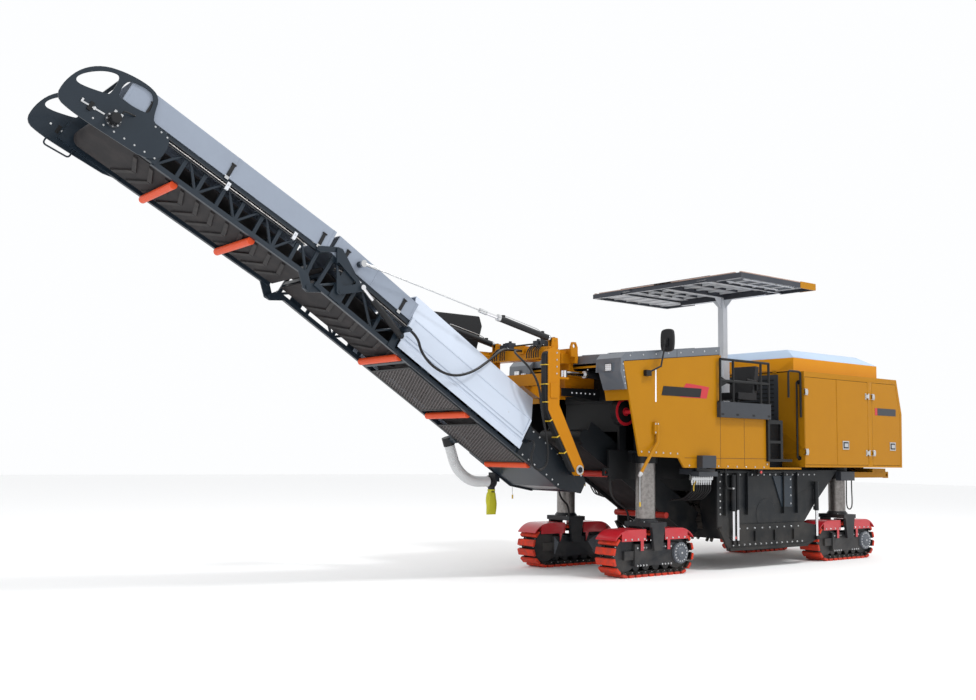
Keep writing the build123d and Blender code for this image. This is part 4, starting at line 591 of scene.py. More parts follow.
    def mesh(self, bevel: float = 0.0, own: bool = False) -> Mesh:
        """Finished mesh in the row frame, or about its own origin.

        Args:
            bevel: width of the rounded edges, none at 0.
            own: keep it about its own origin, to be repeated.

        Returns:
            The mesh with its finishes.
        """
        if not own:
            self.bm.transform(TO_ROW)
        mesh = bpy.data.meshes.new(self.name)
        self.bm.to_mesh(mesh)
        self.bm.free()
        for finish in self.finishes:
            mesh.materials.append(shop.material[finish])
        return bevelled(mesh, bevel) if bevel else smoothed(mesh)

    def done(self, body: str, bevel: float = 0.0, replaces: Sequence[str] = (), mirrored: bool = False) -> Thing:
        """Make the piece and let it ride on a body.

        Args:
            body: body that it rides on.
            bevel: width of the rounded edges.
            replaces: nodes that it stands for.
            mirrored: add the mirror image first.

        Returns:
            The piece.
        """
        if mirrored:
            self.both()
        return shop.piece(self.name, self.mesh(bevel), body, replaces)


def whole(mesh: Mesh, slack: float = 0.002) -> bool:
    """Whether no face of a mesh folds over itself when it is cut into triangles."""
    mesh.calc_loop_triangles()
    areas = [0.0] * len(mesh.polygons)
    for triangle in mesh.loop_triangles:
        areas[triangle.polygon_index] += triangle.area
    return all(areas[face.index] < 1.05 * outline_area(mesh, face) + slack for face in mesh.polygons)


def outline_area(mesh: Mesh, face: bpy.types.MeshPolygon) -> float:
    """Area inside a face's outline."""
    points = [mesh.vertices[index].co for index in face.vertices]
    total = Vector((0.0, 0.0, 0.0))
    for here, after in zip(points, points[1:] + points[:1]):
        total += here.cross(after)
    return total.length / 2


def trimmed(bm: bmesh.types.BMesh, drop: Callable[[Vector], bool],
            cuts: Sequence[tuple[Point, Point, float]]) -> None:
    """Cut away part of a mesh and close it again.

    Args:
        bm: mesh in the row frame.
        drop: says which faces go, by their middle in the machine frame.
        cuts: point, direction and reach of each plane that cuts first, where the mesh is split.
    """
    for point, direction, reach in cuts:
        place = Vector(point) - Vector((CENTRE_X, 0.0, 0.0))
        faces = [f for f in bm.faces if (f.calc_center_median() - place).length < reach
                 or any((v.co - place).length < reach for v in f.verts)]
        parts = {e for f in faces for e in f.edges} | {v for f in faces for v in f.verts} | set(faces)
        bmesh.ops.bisect_plane(bm, geom=list(parts), plane_co=place, plane_no=direction, dist=SAME_POINT / 2)
    gone = [f for f in bm.faces if drop(f.calc_center_median() + Vector((CENTRE_X, 0.0, 0.0)))]
    bmesh.ops.delete(bm, geom=gone, context="FACES")
    edges = [e for e in bm.edges if len(e.link_faces) == 1]
    bmesh.ops.holes_fill(bm, edges=edges, sides=0)


def dress(node: str, rule: Rule, bevel: float = 0.003, drop: Callable[[Vector], bool] | None = None,
          cuts: Sequence[tuple[Point, Point, float]] = (), smooth: float = 32.0) -> Thing:
    """Piece with a node's own shape, rounded edges and a finish for each region.

    Args:
        node: node that it replaces.
        rule: gives the finish for a face from its middle, in the machine frame, and its normal.
        bevel: width of the rounded edges.
        drop: says which faces give way to a finer shape.
        cuts: planes that split the mesh before, with their reach.
        smooth: largest angle that is shaded smooth.

    Returns:
        The piece.
    """
    source = frame["nodes"][node]
    for joined, width in ((True, bevel), (True, bevel / 2), (False, bevel), (False, bevel / 3), (False, 0.0)):
        bm = bmesh.new()
        bm.from_mesh(source.data)
        bmesh.ops.remove_doubles(bm, verts=bm.verts, dist=SAME_POINT)
        if drop:
            trimmed(bm, drop, cuts)
        if joined:
            bmesh.ops.dissolve_limit(
                bm, angle_limit=radians(0.6), use_dissolve_boundaries=False, verts=bm.verts, edges=bm.edges)
        bm.normal_update()
        finishes: list[str] = []
        for face in bm.faces:
            middle = face.calc_center_median()
            middle.x += CENTRE_X
            finish = rule(middle, face.normal)
            if finish not in finishes:
                finishes.append(finish)
            face.material_index = finishes.index(finish)
        mesh = bpy.data.meshes.new(node)
        bm.to_mesh(mesh)
        bm.free()
        for finish in finishes:
            mesh.materials.append(shop.material[finish])
        mesh = bevelled(mesh, width, smooth=smooth) if width else smoothed(mesh, smooth)
        if whole(mesh):
            break
        log.info("%s made again with narrower or unjoined faces", node)
    return shop.piece(node + "_finish", mesh, source["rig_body"], (node,))


def plain(finish: str) -> Rule:
    """Rule that gives every face one finish."""
    return lambda middle, normal: finish


# --- geometry nodes
class Trees:
    """Geometry node trees that repeat bolts, cleats, slats, strands and tread."""

    geometry = ("Geometry", "Geometry", None)

    def __init__(self) -> None:
        """Build the trees once."""
        self.bolts = self.build_bolts()
        self.row = self.build_row()
        self.field = self.build_field()

    def begin(self, name: str, inputs: Sequence[tuple]) -> tuple:
        """Empty tree for a geometry with named inputs and a material.

        Args:
            name: name of the tree.
            inputs: name, socket type and default of each input.

        Returns:
            Its wiring, its input node and its output node.
        """
        inputs = (self.geometry, *inputs, ("Material", "Material", None))
        return grouped(name, "GeometryNodeTree", inputs, (self.geometry,))

    @staticmethod
    def close(wiring: Wiring, start: Node, end: Node, copies: dict[str, object]) -> Tree:
        """Place the copies, realize them and set their material.

        Args:
            wiring: the tree's wiring.
            start: its input node.
            end: its output node.
            copies: points, shape and turn of the copies.

        Returns:
            The tree.
        """
        place = wiring.node("GeometryNodeInstanceOnPoints", copies)
        real = wiring.node("GeometryNodeRealizeInstances", {"Geometry": place.outputs["Instances"]})
        paint = wiring.node(
            "GeometryNodeSetMaterial", {"Geometry": real.outputs["Geometry"], "Material": start.outputs["Material"]})
        wiring.feed(end, {"Geometry": paint.outputs["Geometry"]})
        return wiring.tree

    def build_bolts(self) -> Tree:
        """Hexagon bolts with washers on the points of a mesh, each along the point's own axis."""
        wiring, start, end = self.begin(
            "bolt_field", (("Head Radius", "Float", 0.01), ("Head Height", "Float", 0.008),
            ("Washer Radius", "Float", 0.014)))
        given = start.outputs
        head = wiring.node(
            "GeometryNodeMeshCylinder", {"Vertices": 6, "Radius": given["Head Radius"],
            "Depth": given["Head Height"]})
        washer = wiring.node(
            "GeometryNodeMeshCylinder", {"Vertices": 14, "Depth": 0.003, "Radius": given["Washer Radius"]})
        up = wiring.node("ShaderNodeCombineXYZ", {"Z": wiring.times(given["Head Height"], 0.5)})
        lift = wiring.node(
            "GeometryNodeTransform", {"Geometry": head.outputs["Mesh"], "Translation": up.outputs["Vector"]})
        both = wiring.node("GeometryNodeJoinGeometry", {"Geometry": lift.outputs["Geometry"]})
        wiring.feed(both, {"Geometry": washer.outputs["Mesh"]})
        axis = wiring.node("GeometryNodeInputNamedAttribute", {"Name": "axis"}, data_type="FLOAT_VECTOR")
        turn = wiring.node("FunctionNodeAlignRotationToVector", {"Vector": axis.outputs["Attribute"]}, axis="Z")
        spin = wiring.node("FunctionNodeRandomValue", {3: 1.05, "Seed": 3}, data_type="FLOAT")
        about = wiring.node("ShaderNodeCombineXYZ", {"Z": spin.outputs[1]})
        rotate = wiring.node(
            "FunctionNodeRotateRotation",
            {"Rotation": turn.outputs["Rotation"], "Rotate By": about.outputs["Vector"]}, rotation_space="LOCAL")
        points = wiring.node("GeometryNodeMeshToPoints", {"Mesh": given["Geometry"]})
        return self.close(
            wiring, start, end, {"Points": points.outputs["Points"], "Instance": both.outputs["Geometry"],
            "Rotation": rotate.outputs["Rotation"]})

    def build_row(self) -> Tree:
        """Copies of a shape in a straight row."""
        wiring, start, end = self.begin("row", (("Count", "Int", 5), ("Step", "Vector", (0.1, 0.0, 0.0))))
        line = wiring.node(
            "GeometryNodeMeshLine", {"Count": start.outputs["Count"], "Offset": start.outputs["Step"]}, mode="OFFSET")
        return self.close(wiring, start, end, {"Points": line.outputs["Mesh"], "Instance": start.outputs["Geometry"]})

    def build_field(self) -> Tree:
        """Copies of a shape over a rectangle."""
        wiring, start, end = self.begin(
            "field", (("Columns", "Int", 5), ("Rows", "Int", 5), ("Pitch X", "Float", 0.04),
            ("Pitch Y", "Float", 0.02)))
        given = start.outputs
        grid = wiring.node("GeometryNodeMeshGrid", {"Vertices X": given["Columns"], "Vertices Y": given["Rows"]})
        for count, pitch, size in (("Columns", "Pitch X", "Size X"), ("Rows", "Pitch Y", "Size Y")):
            less = wiring.node("ShaderNodeMath", {0: given[count], 1: 1.0}, operation="SUBTRACT")
            wiring.feed(grid, {size: wiring.times(less.outputs[0], given[pitch])})
        return self.close(wiring, start, end, {"Points": grid.outputs["Mesh"], "Instance": given["Geometry"]})

    @staticmethod
    def run(tree: Tree, mesh: Mesh, values: dict[str, object]) -> Mesh:
        """Evaluate a tree on a mesh.

        Args:
            tree: the tree.
            mesh: its geometry input.
            values: values of its inputs by name.

        Returns:
            The plain mesh that comes out.
        """
        holder = bpy.data.objects.new("holder", mesh)
        bpy.context.scene.collection.objects.link(holder)
        modifier = holder.modifiers.new("tree", "NODES")
        modifier.node_group = tree
        for item in tree.interface.items_tree:
            if item.item_type == "SOCKET" and item.in_out == "INPUT" and item.name in values:
                modifier[item.identifier] = values[item.name]
        result = evaluated(holder)
        bpy.data.objects.remove(holder)
        return result


trees: Trees


class Bolts:
    """Bolt heads at points of the machine frame, made in one go for each body."""

    def __init__(self, name: str, radius: float = 0.01, height: float = 0.009, finish: str = "bright_steel") -> None:
        """Start an empty set with one head size and finish."""
        self.name, self.finish, self.radius, self.height = name, finish, radius, height
        self.points: list[tuple[Vector, Vector]] = []

    def add(self, point: Point, axis: Point, place: Matrix = UNTURNED) -> None:
        """Put a bolt at a point with its head along an axis."""
        self.points.append((place @ Vector(point), (place.to_3x3() @ Vector(axis)).normalized()))

    def line(self, start: Point, end: Point, count: int, axis: Point, place: Matrix = UNTURNED) -> None:
        """Put bolts at equal steps between two points."""
        a, b = Vector(start), Vector(end)
        for k in range(count):
            self.add(a.lerp(b, k / max(count - 1, 1)), axis, place)

    def ring(self, middle: Point, radius: float, count: int, axis: Point) -> None:
        """Put bolts on a circle about an axis along Y or X or Z."""
        turn = Vector(axis).to_track_quat("Z", "Y").to_matrix()
        for k in range(count):
            angle = tau * (k + 0.5) / count
            self.add(Vector(middle) + turn @ Vector((cos(angle), sin(angle), 0)) * radius, axis)

    def both(self) -> None:
        """Add the mirror image across the centre plane."""
        self.points += [(Vector((p.x, -p.y, p.z)), Vector((a.x, -a.y, a.z))) for p, a in self.points]

    def done(self, body: str, mirrored: bool = False) -> Thing:
        """Make the bolts as one piece on a body, with their mirror image where that is asked."""
        if mirrored:
            self.both()
        mesh = bpy.data.meshes.new(self.name)
        mesh.from_pydata([p - Vector((CENTRE_X, 0, 0)) for p, _ in self.points], [], [])
        axis = mesh.attributes.new("axis", "FLOAT_VECTOR", "POINT")
        axis.data.foreach_set("vector", [c for _, a in self.points for c in a])
        result = trees.run(
            trees.bolts, mesh, {"Head Radius": self.radius, "Head Height": self.height, "Washer Radius": self.radius
            * 1.35, "Material": shop.material[self.finish]})
        return shop.piece(self.name, smoothed(result, 30.0), body)


def repeated(tree: Tree, maker: Maker, finish: str, values: dict[str, object], place: Matrix, body: str,
             replaces: Sequence[str] = ()) -> Thing:
    """Piece of one shape repeated by a tree.

    Args:
        tree: the row or the field.
        maker: the shape, about its own origin.
        finish: name of the finish.
        values: values of the tree's inputs by name.
        place: place of the first shape, or of the field's middle, in the machine frame.
        body: body that it rides on.
        replaces: nodes that it stands for.

    Returns:
        The piece.
    """
    mesh = trees.run(tree, maker.mesh(own=True), {**values, "Material": shop.material[finish]})
    mesh.transform(TO_ROW @ place)
    return shop.piece(maker.name, smoothed(mesh), body, replaces)


# --- floor, light and camera
@dataclass
class Studio:
    """Pale floor, soft lights and the camera."""

    eye: tuple[float, float, float] = (13.626, 11.412, 1.652)
    yaw: float = 231.49
    pitch: float = 5.55
    roll: float = 0.76
    lens: float = 39.68
    floor_half: float = 60.0

    def build(self) -> None:
        """Make the camera, the floor and the lights."""
        self.camera()
        self.floor()
        self.lights()

    def camera(self) -> None:
        """Camera at its place, turned by yaw, pitch and roll."""
        yaw, pitch, roll = (radians(a) for a in (self.yaw, self.pitch, self.roll))
        ahead = Vector((cos(yaw) * cos(pitch), sin(yaw) * cos(pitch), sin(pitch)))
        across = ahead.cross(Vector((0, 0, 1))).normalized()
        upward = across.cross(ahead)
        right = across * cos(roll) + upward * sin(roll)
        up = upward * cos(roll) - across * sin(roll)
        turn = Matrix((right, up, -ahead)).transposed().to_4x4()
        data = bpy.data.cameras.new("camera")
        data.lens = self.lens
        data.sensor_width = 36.0
        data.clip_end = 400.0
        eye = bpy.data.objects.new("camera", data)
        eye.matrix_world = Matrix.Translation(Vector(self.eye) - Vector((CENTRE_X, 0, 0))) @ turn
        bpy.context.scene.collection.objects.link(eye)
        bpy.context.scene.camera = eye

    def floor(self) -> None:
        """Plain pale floor."""
        half = self.floor_half
        mesh = bpy.data.meshes.new("floor")
        mesh.from_pydata([(-half, -half, 0), (half, -half, 0), (half, half, 0), (-half, half, 0)], [], [(0, 1, 2, 3)])
        material = bpy.data.materials.new("floor_pale")
        material.use_nodes = True
        shader = material.node_tree.nodes["Principled BSDF"]
        shader.inputs["Base Color"].default_value = (0.93, 0.93, 0.93, 1.0)
        shader.inputs["Roughness"].default_value = 0.85
        shader.inputs["Specular IOR Level"].default_value = 0.1
        mesh.materials.append(material)
        floor = bpy.data.objects.new("floor", mesh)
        bpy.context.scene.collection.objects.link(floor)

    def lights(self) -> None:
        """Even pale world, a broad key light and two fills."""
        world = bpy.data.worlds.new("studio")
        world.use_nodes = True
        world.node_tree.nodes["Background"].inputs["Color"].default_value = (0.985, 0.992, 1.0, 1.0)
        world.node_tree.nodes["Background"].inputs["Strength"].default_value = 1.0
        bpy.context.scene.world = world
        for name, place, aim, size, power in (
                ("key", (-6.0, 9.0, 16.0), (0.5, 0.0, 1.5), 3.0, 1500.0),
                ("front", (19.0, 7.0, 7.0), (1.0, 0.0, 2.0), 6.0, 420.0),
                ("sky", (0.0, 0.0, 19.0), (0.0, 0.0, 0.0), 16.0, 200.0)):
            data = bpy.data.lights.new(name, "AREA")
            data.shape = "DISK"
            data.size = size
            data.energy = power
            lamp = bpy.data.objects.new(name, data)
            lamp.matrix_world = Matrix.Translation(place) @ (
                Vector(aim) - Vector(place)).to_track_quat("-Z", "Y").to_matrix().to_4x4()
            bpy.context.scene.collection.objects.link(lamp)
        bpy.context.scene.view_settings.view_transform = "Standard"


# --- crawler units
@dataclass
class CrawlerUnit:
    """One steered leg with its track loop."""

    end: int
    side: Side
    spacing: float = 1.03
    loop_radius: float = 0.3
    pad_height: float = 0.046
    shoe_half: float = 0.1785
    shoes: int = 28
    hub_radius: float = 0.15
    fender_radius: float = 0.352
    fender_end: float = 38.0
    fender_reach: float = 0.52
    leg_top: float = 0.742

    def below_fender(self, middle: Vector) -> bool:
        """Whether a face belongs to the fender's ends, which stop well above the ground."""
        along = abs(middle.x - self.end * AXLE_X) - self.spacing / 2
        rise = middle.z - self.loop_radius
        if along < 0.02 or hypot(along, rise) < self.fender_radius - 0.045:
            return False
        return rise < tan(radians(self.fender_end)) * along - 0.0005

    @property
    def name(self) -> str:
        """Start of the unit's node names."""
        return ("front" if self.end > 0 else "rear") + "_" + self.side.label

    @property
    def body(self) -> str:
        """Body that the unit rides on."""
        return self.name + "_unit"

    def finish(self, middle: Vector, normal: Vector) -> str:
        """Finish of the unit's regions by their place about the leg and the idlers."""
        along, across = middle.x - self.end * AXLE_X, middle.y - self.side.value * AXLE_Y
        out = hypot(abs(along) - self.spacing / 2, middle.z - self.loop_radius)
        if middle.z > 0.744 and hypot(along, across) < 0.142:
            return "leg_steel"
        if abs(across) > 0.165 and out < self.hub_radius + 0.004:
            return "hub_speckled"
        if abs(along) > 0.186 and (middle.z > 0.605 or (abs(across) > 0.18 and middle.z > 0.43)):
            return "fender_crimson"
        if abs(along) > self.spacing / 2 - 0.01 and out > self.fender_radius - 0.02 and middle.z > 0.295:
            return "fender_crimson"
        return "yoke_graphite"

    def spot(self, along: float, across: float, height: float) -> Vector:
        """Point about the unit's own centre on the ground."""
        return Vector((self.end * AXLE_X + along, self.side.value * (AXLE_Y + across), height))

    def build(self) -> None:
        """Dress the leg and frame and make the track."""
        slope = radians(self.fender_end)
        cuts = []
        for sign in (1, -1):
            arc = (self.end * AXLE_X + sign * self.spacing / 2, self.side.value * AXLE_Y, self.loop_radius)
            cuts.append((arc, (sign * sin(slope), 0.0, -cos(slope)), self.fender_reach))
        dress(self.name + "_crawler", self.finish, 0.004, self.below_fender, cuts)
        self.track()
        self.bolts()

    def track(self) -> None:
        """Track of chain links and bolted pads with grousers."""
        half = self.spacing / 2
        pitch_radius = self.loop_radius - self.pad_height
        run, turn = self.spacing, pi * pitch_radius
        length = 2 * run + 2 * turn
        maker = Maker(self.name + "_track")

        def frame_at(distance: float) -> Matrix:
            """Place of a shoe: X along the band, Z outwards."""
            distance %= length
            if distance < run:
                middle, angle = (half - distance, self.pad_height), pi
            elif distance < run + turn:
                a = (distance - run) / pitch_radius
                middle = (-half - pitch_radius * sin(a), self.loop_radius - pitch_radius * cos(a))
                angle = pi + a
            elif distance < 2 * run + turn:
                middle, angle = (-half + distance - run - turn, self.loop_radius + pitch_radius), 0.0
            else:
                a = (distance - 2 * run - turn) / pitch_radius
                middle = (half + pitch_radius * sin(a), self.loop_radius + pitch_radius * cos(a))
                angle = a
            place = Matrix.Translation((self.end * AXLE_X + middle[0], self.side.value * AXLE_Y, middle[1]))
            return place @ Matrix.Rotation(angle, 4, "Y")

        pitch = length / self.shoes
        top = self.pad_height
        w = self.shoe_half
        for k in range(self.shoes):
            maker.place = frame_at((k + 0.5) * pitch)
            a, b = -0.37 * pitch, 0.37 * pitch
            maker.plate("shoe_red", [(a, 0.01), (a, top - 0.01), (a + 0.01, top), (b - 0.01, top), (b, top - 0.01),
                                     (b, 0.01)], -w, w)
            maker.box("chain_black", (a - 0.006, b + 0.006), (-w + 0.012, w - 0.012), (0.002, 0.011))
            link = [(a - 0.012, -0.033), (b + 0.012, -0.033), (b + 0.016, 0.003), (a - 0.016, 0.003)]
            for y in (-0.105, 0.105):
                maker.plate("chain_black", link, y - 0.012, y + 0.012)
                for finish, x, reach, radius, sides in (
                        ("chain_black", a - 0.008, 0.02, 0.013, 10), ("bright_steel", b + 0.004, 0.022, 0.008, 8)):
                    maker.rod(finish, (x, y - reach, -0.014), (x, y + reach, -0.014), radius, sides=sides)
            for y in (-0.165, 0.147):
                maker.box("chain_black", (a + 0.004, b - 0.004), (y, y + 0.018), (-0.012, 0.006))
        maker.place = UNTURNED
        band = pitch_radius - 0.034
        rings = []
        for radius, y in ((band, -0.09), (band + 0.012, -0.09), (band + 0.012, 0.09), (band, 0.09)):
            ring = [
                (half * s + radius * cos(t), y, self.loop_radius + radius * sin(t)) for s, start in ((1, -90),
                (-1, 90)) for t in [radians(start + 15 * k) for k in range(13)]]
            rings.append([self.spot(x, 0, z) + Vector((0, y0, 0)) for x, y0, z in ring])
        maker.solid("chain_black", rings, closed=False)
        maker.done(self.body, 0.0015, (self.name + "_track_loop",))

    def bolts(self) -> None:
        """Bolt rings of the hub, yoke and fenders."""
        out = Vector((0, self.side.value, 0))
        hub = Bolts(self.name + "_hub_bolts", 0.0085, 0.008)
        middle = self.spot(-self.spacing / 2, self.shoe_half + 0.026, self.loop_radius)
        hub.ring(middle, 0.118, 16, out)
        hub.ring(middle, 0.052, 6, out)
        hub.done(self.body)
        cover = Maker(self.name + "_hub_cover")
        place = self.spot(-self.spacing / 2, self.shoe_half + 0.024, self.loop_radius)
        tip = place + out * 0.018
        cover.rod("hub_speckled", place, place + out * 0.006, 0.095, sides=40)
        cover.rod("hub_speckled", place + out * 0.006, tip, 0.08, 0.066, sides=40)
        cover.rod("bright_steel", tip, tip + out * 0.006, 0.016, sides=6)
        cover.done(self.body, 0.0015)
        bolts = Bolts(self.name + "_frame_bolts", 0.01, 0.009)
        rows = ((0.16, 0.34, -0.008, 0.16), (0.16, 0.34, -0.008, 0.4), (0.225, 0.6, 0.016, 0.52))
        for sign in (1, -1):
            for near, far, proud, height in rows:
                across = self.shoe_half + proud
                bolts.line(self.spot(sign * near, across, height), self.spot(sign * far, across, height), 4, out)
        for along in (-0.13, 0.13):
            bolts.line(self.spot(along, 0.1, self.leg_top), self.spot(along, -0.16, self.leg_top), 3, (0, 0, 1))
        bolts.done(self.body)
        flange = Maker(self.name + "_leg_flange")
        base, top = self.spot(0, 0, self.leg_top), self.spot(0, 0, self.leg_top + 0.03)
        flange.rod("yoke_graphite", base, top, 0.172, 0.16, sides=40)
        flange.rod("yoke_graphite", top, self.spot(0, 0, self.leg_top + 0.048), 0.15, 0.146, sides=40)
        flange.done(self.body, 0.003)


# --- chassis and milling unit
@dataclass
class Chassis:
    """Frame between the crawlers with the loading conveyor."""

    def build(self) -> None:
        """Dress the frame and the loading conveyor."""
        dress("main_frame", self.frame_finish, 0.004)
        dress("primary_conveyor", self.conveyor_finish, 0.003)

    @staticmethod
    def frame_finish(middle: Vector, normal: Vector) -> str:
        """Yellow bumper about the rear legs on a black frame."""
        away = hypot(middle.x + AXLE_X, abs(middle.y) - AXLE_Y)
        bumper = middle.x < -2.5 and 0.6 < abs(middle.y) < 1.02 and middle.z < 1.501
        return "body_yellow" if bumper and away > 0.175 else "frame_black"

    @staticmethod
    def conveyor_finish(middle: Vector, normal: Vector) -> str:
        """Red cross tubes, brown belts and a black trough."""
        slope = atan2(1.32, 2.27)
        dx, dz = middle.x - 0.83, middle.z - 0.64
        along = dx * cos(slope) + dz * sin(slope)
        height = -dx * sin(slope) + dz * cos(slope)
        if min(hypot(along - s, height + 0.23) for s in (0.7, 1.9)) < 0.05:
            return "tube_red"
        if abs(middle.y) < 0.385 and (0.035 < height < 0.06 or height < -0.135) and height > -0.16:
            return "belt_brown"
        return "housing_black"


@dataclass
class MillingUnit:
    """Drum, its housing, the side plates and the scraper."""

    drum_x: float = -0.13
    drum_z: float = 0.8
    half: float = 1.03
    plate_face: float = 1.066

    def build(self) -> None:
        """Dress the nodes, side plates among them, and add bolts, stiffeners, ribs and a bearing cover."""
        dress("drum_housing", plain("housing_black"), 0.003)
        dress("milling_drum", self.drum_finish, 0.0)
        dress("scraper_gate", plain("plate_edge"), 0.004)
        for side in Side:
            dress(side.label + "_side_plate", self.plate_finish, 0.004)
            self.plate_details(side)
        self.housing_details()

    def drum_finish(self, middle: Vector, normal: Vector) -> str:
        """Carbide tips on a steel drum."""
        away = hypot(middle.x - self.drum_x, middle.z - self.drum_z)
        return "carbide_tip" if away > 0.486 and abs(normal.y) < 0.5 else "drum_steel"

    @staticmethod
    def plate_finish(middle: Vector, normal: Vector) -> str:
        """Chrome piston rods on a brown-black plate."""
        for x in (0.7, 0.6, -1.385):
            if hypot(middle.x - x, abs(middle.y) - 1.075) < 0.026 and middle.z > 0.44:
                return "chrome"
        return "plate_edge"

    def plate_details(self, side: Side) -> None:
        """Bolt row and stiffener of a side plate."""
        out = side.value
        face = self.plate_face
        bolts = Bolts(side.label + "_plate_bolts", 0.01, 0.01)
        bolts.line((-1.0, out * face, 0.36), (0.7, out * face, 0.36), 14, (0, out, 0))
        bolts.line((-0.9, out * face, 0.6), (0.55, out * face, 0.6), 9, (0, out, 0))
        bolts.done(side.label + "_side_plate_body")
        trim = Maker(side.label + "_plate_trim")
        for x in (-0.78, -0.3, 0.18):
            trim.box("plate_edge", (x, x + 0.02), (out * face, out * (face + 0.022)), (0.4, 0.56))
        trim.rod("lamp_red", (0.66, out * (face + 0.004), 0.47), (0.66, out * (face + 0.022), 0.47), 0.02)
        trim.done(side.label + "_side_plate_body", 0.002)

    def housing_details(self) -> None:
        """Bearing cover, ribs and bolts on the housing's sides."""
        ribs = Maker("housing_ribs")
        bolts = Bolts("housing_bolts", 0.01, 0.009)
        y = self.half
        ribs.rod("housing_black", (self.drum_x, y, self.drum_z), (self.drum_x, y + 0.004, self.drum_z), 0.235,
                 sides=48)
        for x in (-0.9, -0.55, 0.34, 0.86):
            ribs.box("housing_black", (x, x + 0.014), (y, y + 0.045), (0.8, 1.44))
        ribs.box("housing_black", (-1.5, 0.98), (y, y + 0.03), (1.425, 1.455))
        ribs.plate("truss_slate", [(-0.78, 0.9), (-0.52, 0.9), (-0.3, 1.38), (-0.78, 1.38)], y, y + 0.018)
        bolts.line((-1.4, y, 1.4), (0.92, y, 1.4), 17, (0, 1, 0))
        bolts.line((0.95, y, 0.82), (0.95, y, 1.3), 6, (0, 1, 0))
        bolts.line((-0.74, y + 0.018, 0.95), (-0.74, y + 0.018, 1.33), 4, (0, 1, 0))
        ribs.done("chassis", 0.002, mirrored=True)
        bolts.done("chassis", mirrored=True)


